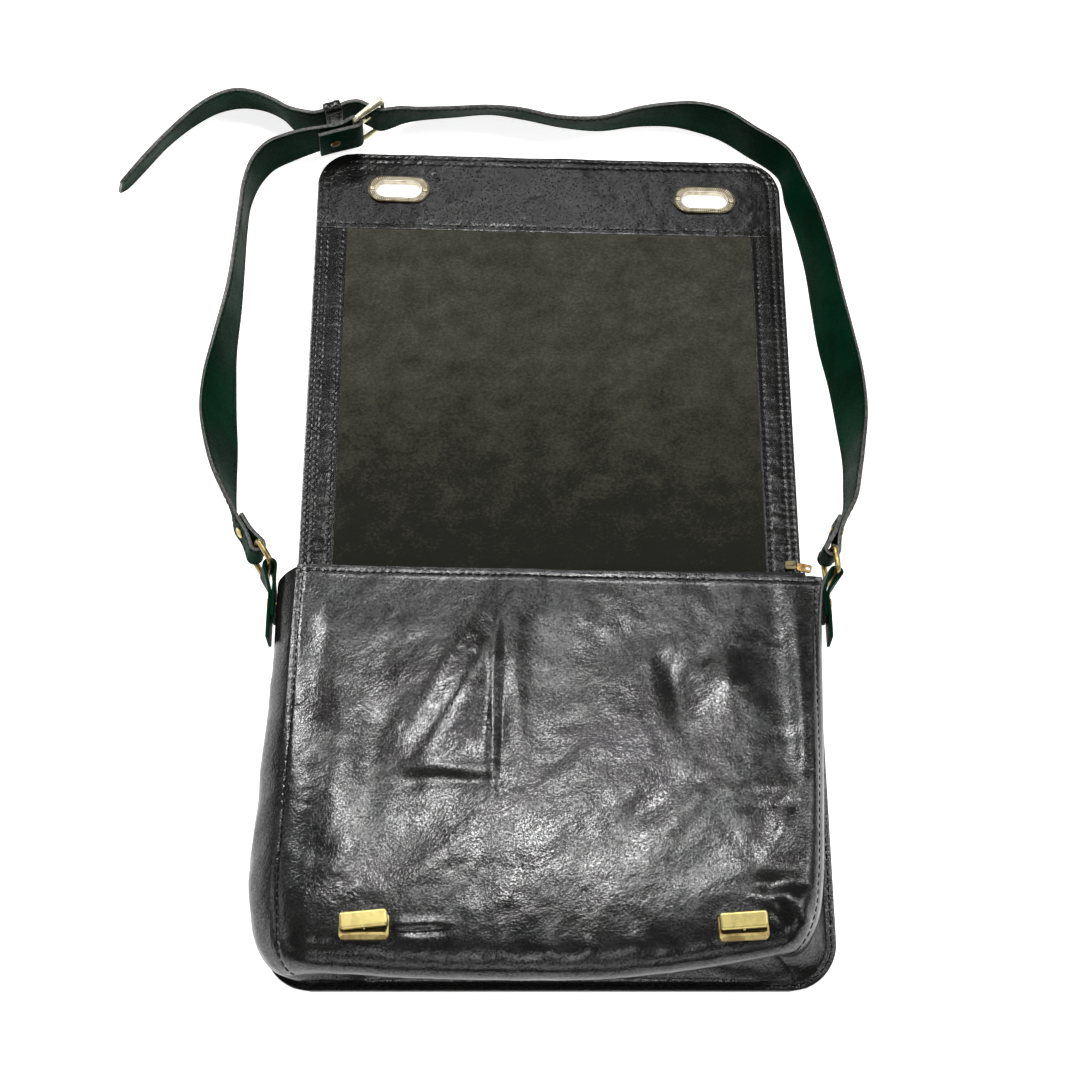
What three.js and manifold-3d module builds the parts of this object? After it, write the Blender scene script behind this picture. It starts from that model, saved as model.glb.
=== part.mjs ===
// Leather messenger bag lying on its back with the flap thrown open and the strap laid round it.
// Millimetres, +Z up. The origin is the middle of the back panel's outer face, on the surface that it
// lies on, and +Y runs from the bag's bottom edge to the end of the open flap.

import * as THREE from "three";
import { mergeVertices } from "three/addons/utils/BufferGeometryUtils.js";
import Module from "manifold-3d";

const wasm = await Module();
wasm.setup();

// Leather and clearances
const LEATHER = 2;
const GUSSET_WALL = 1.6;
const LINING_WALL = 1.2;
const FACING_WALL = 1.6;
const STRAP_WALL = 3;
const STRAP_W = 35;
const TAB_WALL = 2.2;
const TAPE_WALL = 1.2;
const GAP = 0.3;
const LAP_GAP = 1.1;
const TAPE_GAP = 0.7;
const LOOP_GAP = 0.9;

// Back panel and flap
const BACK_W = 372;
const BACK_H = 280;
const BACK_CORNER = 32;
const FOLD_Y = 140;
const FOLD_SHOULDER = 9;
const FLAP_W = 354;
const FLAP_END = 503;
const FLAP_CORNER = 28;
const FLAP_SKEW = 0.028;
const FACING_INSET = 1;
const END_BAND = 68;
const SIDE_BAND = 23;
const SIDE_BAND_ROOT = 146;
const LINING_ROOT = 96;

// Brass slot plates in the flap's end band
const SLOTS = { left: { x: -114.5, y: 473 }, right: { x: 119, y: 463 } };
const SLOT_TURN = -0.043;
const PLATE = { length: 47, height: 23, wall: 1.6 };
const SLOT_HOLE = { length: 34.5, height: 14.6 };
const SLOT_COLLAR = 1;
const SLOT_FIT = 0.5;
const COLLAR_FOOT = 0.4;

// Turn locks on the front panel
const LOCKS = {
  left: { x: -116, y: -110.5, baseTurn: 0, barTurn: 5.6 },
  right: { x: 120, y: -110.5, baseTurn: 3.2, barTurn: 1 },
};
const LOCK_BASE = { length: 31, height: 16, depth: 6, corner: 2.5, bevel: 0.8, bore: 2.6, shift: -2.6 };
const LOCK_BAR = { length: 30, height: 11.5, depth: 5, corner: 2, bevel: 0.9, shift: 0.6 };
const LOCK_STEM = { radius: 2.3, length: 4.5, sides: 12 };

// Rings, tabs and rivets
const RING = { width: 18, height: 30, corner: 4, wire: 4, z: 17.2 };
const RINGS = {
  left: { x: -200, y: 157, alongX: 0.53, alongY: -0.85, leanX: 4, leanY: 2 },
  right: { x: 196, y: 153, alongX: 0.08, alongY: -1, leanX: 3, leanY: 0 },
};
const LOOP_WIDTH = 20;
const LOOP_RISE = 7.2;
const LOOP_STEP = 30;
const RIVET = { head: 4, dome: 1.3, shank: 1.3, foot: 2.6, footDepth: 0.7, sides: 8 };
const RIVET_SHOULDER = { radius: 3.2, height: 1 };
const RIVET_HOLE = { radius: 1.9, sides: 8 };

// Buckle: the hinge bar stands at (x, y) and the frame runs away from it along (alongX, alongY)
const BUCKLE = { x: -149, y: 518, alongX: 0.77, alongY: 0.64, leanX: 2, leanY: -6 };
const FRAME = { width: 26, height: 42, corner: 3, wire: 4, foot: 0.7, broad: 1.7 };
const PRONG = { wall: 4, eye: 4.4, armStart: 1.2, armTip: 5.2, tipIn: 2.5, reach: 30, eyeGap: 0.63 };
const PRONG_FIT = 0.8;
const PRONG_SLOT = { length: 13, depth: 14 };
const KEEPER = { x: -166.7, y: 530.9, depth: 5.2, height: 38, band: 13, wall: 2, turnDeg: 20, corner: 2 };
const BUCKLE_RIVET = { x: -164.5, y: 508.9, z: 22, grip: 9.7 };

// Zip end at the right of the mouth
const TAPE = { left: 0.05, right: 0.945, under: 14, reachLeft: 1.5, reachRight: 7.5, sag: 8, outFrom: 0.45 };
const SLIDER = {
  place: [166.5, 148.4, 24.6],
  length: 8,
  height: 7,
  depth: 4.5,
  corner: 1.7,
  bevel: 0.6,
  turnDeg: 0,
};
const PULL = {
  place: [176.1, 147.6, 24.6],
  length: 10.5,
  height: 6,
  depth: 1.4,
  corner: 1.5,
  bevel: 0.3,
  turnDeg: -12,
};

// Mesh steps
const FRONT_STEPS = { across: 26, along: 22 };
const WIRE_STEPS = { round: 6, along: 16 };
const TAPE_STEPS = { across: 20, along: 3 };
const STRAP_STEPS_PER_ROW = 2;
const SURFACE_STEP = 1e-3;
const SEARCH_STEP = 5e-3;
const SAME_POINT = 1e-4;

/** Rows with named columns. */
function table(columns, rows) {
  const names = columns.split(" ");
  return rows.map((row) => Object.fromEntries(names.map((name, k) => [name, row[k]])));
}

// Front panel, a row for each section from the bottom seam to the mouth: crown height, and where the
// left and right seams lie
const FRONT_SECTIONS = table("y crown left leftZ right rightZ", [
  [-135, 27, -152, 22, 140, 23],
  [-140, 38, -162, 27, 151, 25],
  [-140, 49, -169, 35, 160, 26],
  [-132, 56, -174, 44, 167, 28],
  [-115, 58.5, -176, 50, 172, 30],
  [-80, 58, -177, 52, 175, 32],
  [-28, 54, -176, 48, 178, 32],
  [28, 48, -175, 44, 181, 31],
  [103, 40, -174, 38, 184, 30],
  [141, 36, -173, 36, 186, 35],
]);
const LEFT_SHOULDER = 24;
const RIGHT_SHOULDER = 17;
const MOUTH_SKEW = 0.025;
const MOUTH_HEM = 0.03;
const EDGE_CROWDING = 0.6;
const BOTTOM_BOW = { left: 5, right: 19, at: 156, fadeY: -50 };

// Dents and folds pressed into the front panel: lift at the middle, half length, half width, turn
const FRONT_FOLDS = table("x y lift long wide turnDeg", [
  [-43, 40, 3.5, 46, 7, 86],
  [-77, -12, 3, 34, 7, 10],
  [-78, -26, -3, 36, 8, 10],
  [-74, 52, 3, 60, 12, 58],
  [-92, 60, -2, 40, 16, 75],
  [76, 48, -5.5, 13, 11, 80],
  [80, 68, 3, 14, 9, 10],
  [106, 46, 3.5, 15, 13, 40],
  [150, 68, -3.5, 26, 13, 85],
  [150, -84, -5, 20, 7, 8],
  [160, -98, 3, 12, 8, 20],
  [20, -60, -1.5, 80, 20, 20],
]);
const FOLD_FADE = 26;
const FOLD_ROWS = { from: 0.25, full: 0.45 };

// Gusset, share of the way from the mouth's left end round the bottom to its right end: how far the
// wall bulges out of the line between its two seams
const GUSSET_BULGE = table("at bulge", [
  [0, 11],
  [0.06, 11],
  [0.16, 14],
  [0.25, 16],
  [0.29, 11],
  [0.33, 0],
  [0.38, -9],
  [0.5, -13],
  [0.62, -9],
  [0.68, -3],
  [0.73, -4],
  [0.86, -8],
  [0.95, 3],
  [1, 5],
]);
const GUSSET_WALL_SHARES = [0.16, 0.36, 0.6, 0.84];
const FLANGE = 6.5;
const LAP_STEPS = { across: 1, along: 2 };

// Straps, a row for each section: low edge, its height, width, and how far the top edge leans over
const LONG_STRAP_RUN = table("x y rise width leanX leanY", [
  [209, 200, 4, 28, 5, 0],
  [211.5, 220, 1, 35, 7, 0],
  [212, 240, 1, 35, 10, 0],
  [209, 268, 1, 35, 17, 2],
  [205, 301, 1, 35, 20, 3],
  [199, 335, 1, 35, 21, 3],
  [196, 369, 1, 35, 18, 1],
  [193, 404, 1, 35, 15, 2],
  [187, 437, 1, 35, 13, 4],
  [181.5, 460, 1, 35, 10, 5],
  [177, 486, 1, 35, 4, 3],
  [152, 508, 1, 35, 3, 2],
  [133, 522, 1, 35, 2, 3],
  [114, 530, 1, 35, 0, 1],
  [96, 535, 1, 35, -1, -4],
  [70, 535.5, 1, 35, 0, -8],
  [39, 531.5, 1, 35, 0, -12],
  [10, 535, 1, 35, -3, -14],
  [-18, 542, 1, 35, -3, -14],
  [-45, 547, 1, 35, 0, -16],
  [-74, 544.5, 1, 35, 1, -15],
  [-103, 541, 1.5, 35, 2, -13],
  [-114, 537, 3.5, 35, 2, -10],
  [-123.5, 531, 5.5, 35, 2, -7],
  [-131, 528.9, 5.5, 35, 2, -6],
  [-139.7, 533.5, 5.5, 35, 2, -6],
  [-147.3, 537, 5.5, 35, 2, -6],
  [-156.5, 535.6, 5.5, 35, 2, -6],
  [-162.5, 532.2, 5.5, 35, 2, -6],
  [-171, 529.3, 5.5, 35, 2, -6],
  [-179.6, 526.6, 5.5, 35, 2, -6],
  [-188, 527, 3.5, 35, -1, -4],
  [-196, 531, 1.5, 35, -4, -3],
  [-205, 541, 1, 35, -5, -6],
  [-220, 549.5, 1, 35, -3, -8],
  [-239, 552.5, 1, 35, 0, -8],
  [-258, 548, 1, 35, 4, -8],
  [-276, 536, 1, 35, 6, -8],
  [-296, 516, 1, 35, 9, -7],
  [-313, 492, 1, 35, 9, -6],
  [-324, 477, 1.5, 33, 9, -6],
  [-329.5, 470, 8, 20, 5, -4],
]);
const SHORT_STRAP_RUN = table("x y rise width leanX leanY", [
  [-223, 203, 4, 28, -4, 0],
  [-224.5, 222, 1, 35, -12, 0],
  [-225, 252, 1, 35, -20, -1],
  [-227, 276, 1, 35, -22, -2],
  [-229, 301, 1, 35, -19, -2],
  [-231, 330, 1, 35, -11, 0],
  [-230, 369, 1, 35, -5, 0],
  [-230, 404, 1, 35, -2, 0],
  [-230, 438, 1, 35, 0, 0],
  [-228.5, 460, 1, 35, 0, 0],
  [-222, 480, 1, 35, -1, 1],
  [-212, 494, 1, 35, -1, 1],
  [-198, 502.5, 1, 35, 0, 0],
  [-185, 507.5, 3, 35, 1, -2],
  [-172, 512, 5.5, 35, 2, -5],
  [-160, 516, 5.5, 35, 2, -6],
]);
const SHORT_STRAP_RETURN = table("x y rise width leanX leanY", [
  [-154, 511.9, 5.5, 35, 2, -6],
  [-164.5, 508.9, 5.5, 35, 2, -6],
  [-176, 505.2, 5.5, 35, 2, -6],
]);
const STRAP_FOLD = { end: 27, close: 14, open: 7, closeHalf: 1.8, openHalf: 2.9, rivetAt: 18, onward: 24 };
const STRAP_RUN_UP = { left: [-0.53, 0.85], right: [0.33, 0.94] };
const STRAP_OUT = { left: -1, right: 1 };

// Side tabs: outer layer from its end up to the ring, then the inner layer back down
const TAB_OUTER = table("offset y", [
  [3.4, 96],
  [3.4, 113],
  [3.4, 131],
]);
const TAB_INNER = table("offset y", [
  [0.8, 131],
  [0.8, 112],
]);
const TAB_FACE = { left: -188.1, right: 187.7 };
const TAB_RIVET_Y = 124;
const TAB_RIVET_GRIP = 9.6;

const FINISHES = {
  leather: { color: 0x1b1a19, roughness: 0.34, metalness: 0 },
  suede: { color: 0x36352c, roughness: 0.96, metalness: 0 },
  strap: { color: 0x0b1d13, roughness: 0.5, metalness: 0 },
  brass: { color: 0xb99c4e, roughness: 0.3, metalness: 1 },
  paleBrass: { color: 0xb5ab93, roughness: 0.4, metalness: 1 },
  tape: { color: 0x121212, roughness: 0.9, metalness: 0 },
};

const vector = (x, y, z) => new THREE.Vector3(x, y, z);
const { clamp, degToRad, lerp, smoothstep } = THREE.MathUtils;
const SIDES = ["left", "right"];

/** Smooth rows: a function from a share (or a value of the `at` column) to a row between its neighbours. */
function rowSpline(rows) {
  const names = Object.keys(rows[0]);
  const places = rows.map((row, k) => row.at ?? k / (rows.length - 1));
  const values = rows.flatMap((row) => names.map((name) => row[name]));
  const spline = new THREE.CubicInterpolant(places, values, names.length);
  return (share) => {
    const found = spline.evaluate(share);
    return Object.fromEntries(names.map((name, k) => [name, found[k]]));
  };
}

/** Unit normal of surface(u, v), on the side that u turned towards v points to. */
function normalAt(surface, u, v) {
  const [u0, u1] = [Math.max(0, u - SURFACE_STEP), Math.min(1, u + SURFACE_STEP)];
  const [v0, v1] = [Math.max(0, v - SURFACE_STEP), Math.min(1, v + SURFACE_STEP)];
  const alongU = surface(u1, v).sub(surface(u0, v));
  const alongV = surface(u, v1).sub(surface(u, v0));
  return alongU.cross(alongV).normalize();
}

/** A wall of even thickness whose middle follows surface(u, v): a flat slab bent to it. */
function bentSheet(surface, stepsU, stepsV, wall) {
  const slab = new THREE.BoxGeometry(1, 1, wall, stepsU, stepsV, 1);
  const corners = slab.getAttribute("position");
  for (let k = 0; k < corners.count; k += 1) {
    const [u, v] = [corners.getX(k) + 0.5, corners.getY(k) + 0.5];
    const place = surface(u, v).addScaledVector(normalAt(surface, u, v), corners.getZ(k));
    corners.setXYZ(k, place.x, place.y, place.z);
  }
  return slab;
}

/** Closed geometry as a solid that can be joined and cut. */
function solidOf(geometry) {
  const bare = geometry.clone();
  bare.deleteAttribute("normal");
  bare.deleteAttribute("uv");
  const merged = mergeVertices(bare, SAME_POINT);
  const triVerts = new Uint32Array(merged.index.array);
  const vertProperties = merged.getAttribute("position").array;
  return new wasm.Manifold(new wasm.Mesh({ numProp: 3, vertProperties, triVerts }));
}

function geometryOf(solid) {
  const mesh = solid.getMesh();
  const geometry = new THREE.BufferGeometry();
  geometry.setAttribute("position", new THREE.BufferAttribute(mesh.vertProperties, 3));
  geometry.setIndex(new THREE.BufferAttribute(mesh.triVerts, 1));
  return geometry;
}

function cut(geometry, ...tools) {
  return geometryOf(tools.reduce((left, tool) => left.subtract(solidOf(tool)), solidOf(geometry)));
}

function join(geometry, ...others) {
  return geometryOf(others.reduce((all, other) => all.add(solidOf(other)), solidOf(geometry)));
}

/** Flat plate of a shape, from height z up. */
function plate(shape, depth, z) {
  const geometry = new THREE.ExtrudeGeometry(shape, { depth, bevelEnabled: false, curveSegments: 5 });
  return geometry.translate(0, 0, z);
}

/** Plate with its edges rounded off inside its outline. */
function bevelledPlate(shape, depth, bevel) {
  const geometry = new THREE.ExtrudeGeometry(shape, {
    depth: depth - 2 * bevel,
    bevelThickness: bevel,
    bevelSize: bevel,
    bevelOffset: -bevel,
    bevelSegments: 1,
    curveSegments: 2,
  });
  return geometry.translate(0, 0, bevel);
}

function roundedRectangle(length, height, corner) {
  const [x, y] = [length / 2 - corner, height / 2 - corner];
  const shape = new THREE.Shape();
  shape.absarc(x, y, corner, 0, Math.PI / 2);
  shape.absarc(-x, y, corner, Math.PI / 2, Math.PI);
  shape.absarc(-x, -y, corner, Math.PI, 1.5 * Math.PI);
  shape.absarc(x, -y, corner, 1.5 * Math.PI, 2 * Math.PI);
  return shape;
}

/** Slot outline with round ends about (x, y). */
function obround(length, height, x, y, turn) {
  const run = (length - height) / 2;
  const [runX, runY] = [run * Math.cos(turn), run * Math.sin(turn)];
  const shape = new THREE.Shape();
  shape.absarc(x + runX, y + runY, height / 2, turn - Math.PI / 2, turn + Math.PI / 2);
  shape.absarc(x - runX, y - runY, height / 2, turn + Math.PI / 2, turn + 1.5 * Math.PI);
  return shape;
}

/** Round wire bent to a rounded rectangle, in the XY plane: a torus split at its four quarters. */
function wireRing({ width, height, corner, wire }) {
  const ring = new THREE.TorusGeometry(corner, wire / 2, WIRE_STEPS.round, WIRE_STEPS.along);
  const points = ring.getAttribute("position");
  const apart = (value, half) => {
    if (Math.abs(value) < SAME_POINT) return 0;
    return value + Math.sign(value) * (half - corner);
  };
  for (let k = 0; k < points.count; k += 1) {
    points.setX(k, apart(points.getX(k), width / 2));
    points.setY(k, apart(points.getY(k), height / 2));
  }
  return ring;
}

/** Turns a geometry's X to a direction on the floor and its Y to a leaning upright, and moves it. */
function stand(geometry, place, along, up) {
  const upright = up.clone().normalize();
  const facing = along.clone().cross(upright).normalize();
  const level = upright.clone().cross(facing);
  const turn = new THREE.Matrix4().makeBasis(level, upright, facing);
  return geometry.applyMatrix4(turn).translate(place.x, place.y, place.z);
}

/** Unit vector up a leaning strip of some width, from how far its top edge leans over. */
const leanOf = ({ leanX, leanY }, width) =>
  vector(leanX, leanY, Math.sqrt(width ** 2 - leanX ** 2 - leanY ** 2)).normalize();

/** Point above the floor at (x, y), up along a lean to height z. */
const upLean = (x, y, lean, z) => vector(x, y, 0).addScaledVector(lean, z / lean.z);

const flapEnd = (x) => FLAP_END - FLAP_SKEW * x;
const bandEdge = (x) => flapEnd(x) - END_BAND;

/** Flap end with round corners, inset from the flap's own edge; the outline is left open at its foot. */
function traceFlapEnd(shape, inset) {
  const half = FLAP_W / 2;
  const corner = FLAP_CORNER - inset;
  shape.absarc(half - FLAP_CORNER, flapEnd(half) - FLAP_CORNER, corner, 0, Math.PI / 2);
  shape.absarc(FLAP_CORNER - half, flapEnd(-half) - FLAP_CORNER, corner, Math.PI / 2, Math.PI);
}

function cutSlots(shape, grow) {
  const [length, height] = [SLOT_HOLE.length + 2 * grow, SLOT_HOLE.height + 2 * grow];
  for (const side of SIDES) {
    shape.holes.push(obround(length, height, SLOTS[side].x, SLOTS[side].y, SLOT_TURN));
  }
}

function backAndFlap() {
  const [half, bottom] = [BACK_W / 2, -BACK_H / 2];
  const shape = new THREE.Shape();
  shape.moveTo(-FLAP_W / 2, FOLD_Y);
  shape.lineTo(-half, FOLD_Y - FOLD_SHOULDER);
  shape.absarc(BACK_CORNER - half, bottom + BACK_CORNER, BACK_CORNER, Math.PI, 1.5 * Math.PI);
  shape.absarc(half - BACK_CORNER, bottom + BACK_CORNER, BACK_CORNER, 1.5 * Math.PI, 2 * Math.PI);
  shape.lineTo(half, FOLD_Y - FOLD_SHOULDER);
  shape.lineTo(FLAP_W / 2, FOLD_Y);
  traceFlapEnd(shape, 0);
  cutSlots(shape, SLOT_COLLAR + SLOT_FIT);
  return plate(shape, LEATHER, 0);
}

const FACING_Z = LEATHER + GAP;

function flapEndFacing() {
  const half = FLAP_W / 2 - FACING_INSET;
  const shape = new THREE.Shape();
  shape.moveTo(-half, bandEdge(-half));
  shape.lineTo(half, bandEdge(half));
  traceFlapEnd(shape, FACING_INSET);
  cutSlots(shape, SLOT_COLLAR + SLOT_FIT);
  return plate(shape, FACING_WALL, FACING_Z);
}

/** Four-sided band between two x values, from a level foot up to the end facing's edge. */
function bandUpToEndFacing(x0, x1, foot, wall) {
  const shape = new THREE.Shape();
  shape.moveTo(x0, foot);
  shape.lineTo(x1, foot);
  shape.lineTo(x1, bandEdge(x1) - GAP);
  shape.lineTo(x0, bandEdge(x0) - GAP);
  return plate(shape, wall, FACING_Z);
}

function flapSideFacing(side) {
  const edge = FLAP_W / 2 - FACING_INSET;
  const inner = edge - SIDE_BAND;
  const [x0, x1] = side === "left" ? [-edge, -inner] : [inner, edge];
  return bandUpToEndFacing(x0, x1, SIDE_BAND_ROOT, FACING_WALL);
}

function flapLining() {
  const edge = FLAP_W / 2 - FACING_INSET - SIDE_BAND - GAP;
  return bandUpToEndFacing(-edge, edge, LINING_ROOT, LINING_WALL);
}

/** Plate on the facing, with a collar that lines the slot through facing and flap. */
function slotPlate({ x, y }) {
  const hole = obround(SLOT_HOLE.length, SLOT_HOLE.height, x, y, SLOT_TURN);
  const face = obround(PLATE.length, PLATE.height, x, y, SLOT_TURN);
  const grow = 2 * SLOT_COLLAR;
  const collar = obround(SLOT_HOLE.length + grow, SLOT_HOLE.height + grow, x, y, SLOT_TURN);
  face.holes.push(hole);
  collar.holes.push(hole);
  const seat = FACING_Z + FACING_WALL + GAP;
  return join(plate(face, PLATE.wall, seat), plate(collar, seat + PLATE.wall / 2 - COLLAR_FOOT, COLLAR_FOOT));
}

const frontRow = rowSpline(FRONT_SECTIONS);
const parabola = (share) => 1 - (1 - clamp(share, 0, 1)) ** 2;
const quarterRound = (share) => Math.sqrt(1 - (1 - clamp(share, 0, 1)) ** 2);

/** Lift of all dents and folds at a point of the front panel. */
function foldLift(x, y) {
  let lift = 0;
  for (const fold of FRONT_FOLDS) {
    const turn = degToRad(fold.turnDeg);
    const along = (x - fold.x) * Math.cos(turn) + (y - fold.y) * Math.sin(turn);
    const across = (y - fold.y) * Math.cos(turn) - (x - fold.x) * Math.sin(turn);
    lift += fold.lift * Math.exp(-((along / fold.long) ** 2) - (across / fold.wide) ** 2);
  }
  return lift;
}

/** Middle of the front panel's wall: u from its left seam to its right, v from the bottom to the mouth. */
function frontSurface(u, v) {
  const row = frontRow(v);
  const share = lerp(u, 0.5 - 0.5 * Math.cos(Math.PI * u), EDGE_CROWDING);
  const x = lerp(row.left, row.right, share);
  const [fromLeft, fromRight] = [x - row.left, row.right - x];
  const rise = (row.crown - row.leftZ) * parabola(fromLeft / LEFT_SHOULDER);
  const drop = (row.crown - row.rightZ) * (1 - quarterRound(fromRight / RIGHT_SHOULDER));
  const bow = x < 0 ? BOTTOM_BOW.left : BOTTOM_BOW.right;
  const bowed = bow * (x / BOTTOM_BOW.at) ** 2 * (1 - smoothstep(row.y, -BACK_H / 2, BOTTOM_BOW.fadeY));
  const skewed = MOUTH_SKEW * x * smoothstep(row.y, -BACK_H / 2, FOLD_Y);
  const y = row.y + bowed - skewed;
  const fromSides = smoothstep(Math.min(fromLeft, fromRight), 0, FOLD_FADE);
  const inside = fromSides * smoothstep(v, FOLD_ROWS.from, FOLD_ROWS.full);
  return vector(x, y, row.leftZ + rise - drop + inside * foldLift(x, y));
}

/** Point and normal of the front panel nearest to (x, y), seen from above. */
function frontAt(x, y) {
  let best = { distance: Infinity };
  for (let u = 0; u <= 1; u += SEARCH_STEP) {
    for (let v = FOLD_ROWS.from; v <= 1; v += SEARCH_STEP) {
      const point = frontSurface(u, v);
      const distance = Math.hypot(point.x - x, point.y - y);
      if (distance < best.distance) best = { distance, point, normal: normalAt(frontSurface, u, v) };
    }
  }
  return best;
}

/** Places round the front panel's sewn edge as (u, v), from the mouth's left end to its right end. */
function seamPlaces() {
  const { across, along } = FRONT_STEPS;
  const left = Array.from({ length: along }, (_, k) => [0, 1 - k / along]);
  const bottom = Array.from({ length: across }, (_, k) => [k / across, 0]);
  const right = Array.from({ length: along + 1 }, (_, k) => [1, k / along]);
  return [...left, ...bottom, ...right];
}

/** Point under the front panel where the middle of the gusset's wall runs. */
function underFront(u, v) {
  const below = LEATHER / 2 + LAP_GAP + GUSSET_WALL / 2;
  return frontSurface(u, v).addScaledVector(normalAt(frontSurface, u, v), -below);
}

/** Line where the gusset's wall turns out to its flange on the back panel. */
function flangeLine() {
  const [half, bottom, corner] = [BACK_W / 2 - FLANGE, FLANGE - BACK_H / 2, BACK_CORNER - FLANGE];
  const path = new THREE.Path();
  path.moveTo(-half, FOLD_Y - FOLD_SHOULDER);
  path.lineTo(-half, bottom + corner);
  path.absarc(corner - half, bottom + corner, corner, Math.PI, 1.5 * Math.PI);
  path.lineTo(half - corner, bottom);
  path.absarc(half - corner, bottom + corner, corner, 1.5 * Math.PI, 2 * Math.PI);
  path.lineTo(half, FOLD_Y - FOLD_SHOULDER);
  return path;
}

/** Strip sewn under the front panel's edge, bulging or tucked in, and turned out on the back panel. */
function gusset() {
  const places = seamPlaces();
  const seams = places.map(([u, v]) => underFront(u, v));
  const lengths = seams.map((seam, k) => (k === 0 ? 0 : seam.distanceTo(seams[k - 1])));
  const total = lengths.reduce((sum, length) => sum + length);
  const backLine = flangeLine();
  const bulgeAt = rowSpline(GUSSET_BULGE);
  const flangeZ = LEATHER + GAP + GUSSET_WALL / 2;
  const [lapU, lapV] = [LAP_STEPS.across / FRONT_STEPS.across, LAP_STEPS.along / FRONT_STEPS.along];
  let run = 0;
  const sections = places.map(([u, v], k) => {
    run += lengths[k];
    const share = Math.min(run / total, 1);
    const flat = backLine.getPointAt(share);
    const tangent = backLine.getTangentAt(share);
    const out = vector(tangent.y, -tangent.x, 0);
    const foot = vector(flat.x, flat.y, flangeZ);
    const { bulge } = bulgeAt(share);
    const lap = underFront(clamp(u, lapU, 1 - lapU), Math.max(v, lapV));
    const wall = GUSSET_WALL_SHARES.map((t) =>
      seams[k].clone().lerp(foot, t).addScaledVector(out, 4 * t * (1 - t) * bulge),
    );
    return [lap, seams[k], ...wall, foot, foot.clone().addScaledVector(out, FLANGE)];
  });
  const [stepsU, stepsV] = [sections.length - 1, sections[0].length - 1];
  const surface = (u, v) => {
    const k = Math.min(Math.floor(u * stepsU), stepsU - 1);
    const j = Math.min(Math.floor(v * stepsV), stepsV - 1);
    const across = (points) => points[j].clone().lerp(points[j + 1], v * stepsV - j);
    return across(sections[k]).lerp(across(sections[k + 1]), u * stepsU - k);
  };
  return bentSheet(surface, stepsU, stepsV, GUSSET_WALL);
}

/** Cloth tape sewn under the mouth's edge, coming out of it towards its right end. */
function zipTape() {
  const below = LEATHER / 2 + TAPE_GAP + TAPE_WALL / 2;
  const surface = (u, v) => {
    const across = lerp(TAPE.left, TAPE.right, u);
    const edge = frontSurface(across, 1);
    const outward = edge.clone().sub(frontSurface(across, 1 - MOUTH_HEM)).setX(0).normalize();
    const out = smoothstep(across, TAPE.outFrom, 1);
    const reach = lerp(-TAPE.under, lerp(TAPE.reachLeft, TAPE.reachRight, out), v);
    const sag = below + TAPE.sag * out * v ** 2;
    return edge.addScaledVector(outward, reach).add(vector(0, 0, -sag));
  };
  return bentSheet(surface, TAPE_STEPS.across, TAPE_STEPS.along, TAPE_WALL);
}

function smallBlock({ place, length, height, depth, corner, bevel, turnDeg }) {
  const block = bevelledPlate(roundedRectangle(length, height, corner), depth, bevel);
  return block.rotateZ(degToRad(turnDeg)).translate(...place);
}

function lockBase() {
  const shape = roundedRectangle(LOCK_BASE.length, LOCK_BASE.height, LOCK_BASE.corner);
  const base = bevelledPlate(shape, LOCK_BASE.depth, LOCK_BASE.bevel);
  const { bore: radius, depth } = LOCK_BASE;
  const bore = new THREE.CylinderGeometry(radius, radius, 3 * depth, LOCK_STEM.sides);
  return cut(base.translate(0, LOCK_BASE.shift, 0), bore.rotateX(Math.PI / 2));
}

function lockBar() {
  const shape = roundedRectangle(LOCK_BAR.length, LOCK_BAR.height, LOCK_BAR.corner);
  const bar = bevelledPlate(shape, LOCK_BAR.depth, LOCK_BAR.bevel);
  const length = LOCK_STEM.length + LOCK_BAR.depth / 2;
  const stem = new THREE.CylinderGeometry(LOCK_STEM.radius, LOCK_STEM.radius, length, LOCK_STEM.sides);
  return join(bar.translate(0, LOCK_BAR.shift, 0), stem.rotateX(Math.PI / 2).translate(0, 0, length / 2 - LOCK_STEM.length));
}

/** Rivet through leather `grip` thick: domed head on top at z = 0, foot below. */
function rivet(grip) {
  const below = -grip;
  const profile = [
    [0, below - RIVET.footDepth],
    [RIVET.foot, below - RIVET.footDepth],
    [RIVET.foot, below],
    [RIVET.shank, below],
    [RIVET.shank, 0],
    [RIVET.head, 0],
    [RIVET_SHOULDER.radius, RIVET_SHOULDER.height],
    [0, RIVET.dome],
  ];
  return new THREE.LatheGeometry(profile.map(([x, y]) => new THREE.Vector2(x, y)), RIVET.sides);
}

function rivetHole(grip) {
  return new THREE.CylinderGeometry(RIVET_HOLE.radius, RIVET_HOLE.radius, 3 * grip, RIVET_HOLE.sides);
}

/** Rows round an upright bar, from one side of it past its end to the other side. */
function rowsRoundBar(bar, start, end, radius, like) {
  const rows = [];
  for (let angle = 0; angle <= 180; angle += LOOP_STEP) {
    const [c, s] = [Math.cos(degToRad(angle)), Math.sin(degToRad(angle))];
    const x = bar.x + radius * (c * start.x + s * end.x);
    const y = bar.y + radius * (c * start.y + s * end.y);
    rows.push({ ...like, x, y });
  }
  return rows;
}

/** Flat strip standing on its low edge through the rows of a table. */
function strip(rows, wall) {
  const lowEdge = (row) => upLean(row.x, row.y, leanOf(row, row.width), row.rise);
  const topEdge = (row) => lowEdge(row).addScaledVector(leanOf(row, row.width), row.width);
  const low = new THREE.CatmullRomCurve3(rows.map(lowEdge));
  const top = new THREE.CatmullRomCurve3(rows.map(topEdge));
  const surface = (u, v) => low.getPoint(u).lerp(top.getPoint(u), v);
  return bentSheet(surface, STRAP_STEPS_PER_ROW * (rows.length - 1), 1, wall);
}

const barRadius = (wall, wire) => wire / 2 + LOOP_GAP + wall / 2;

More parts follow.
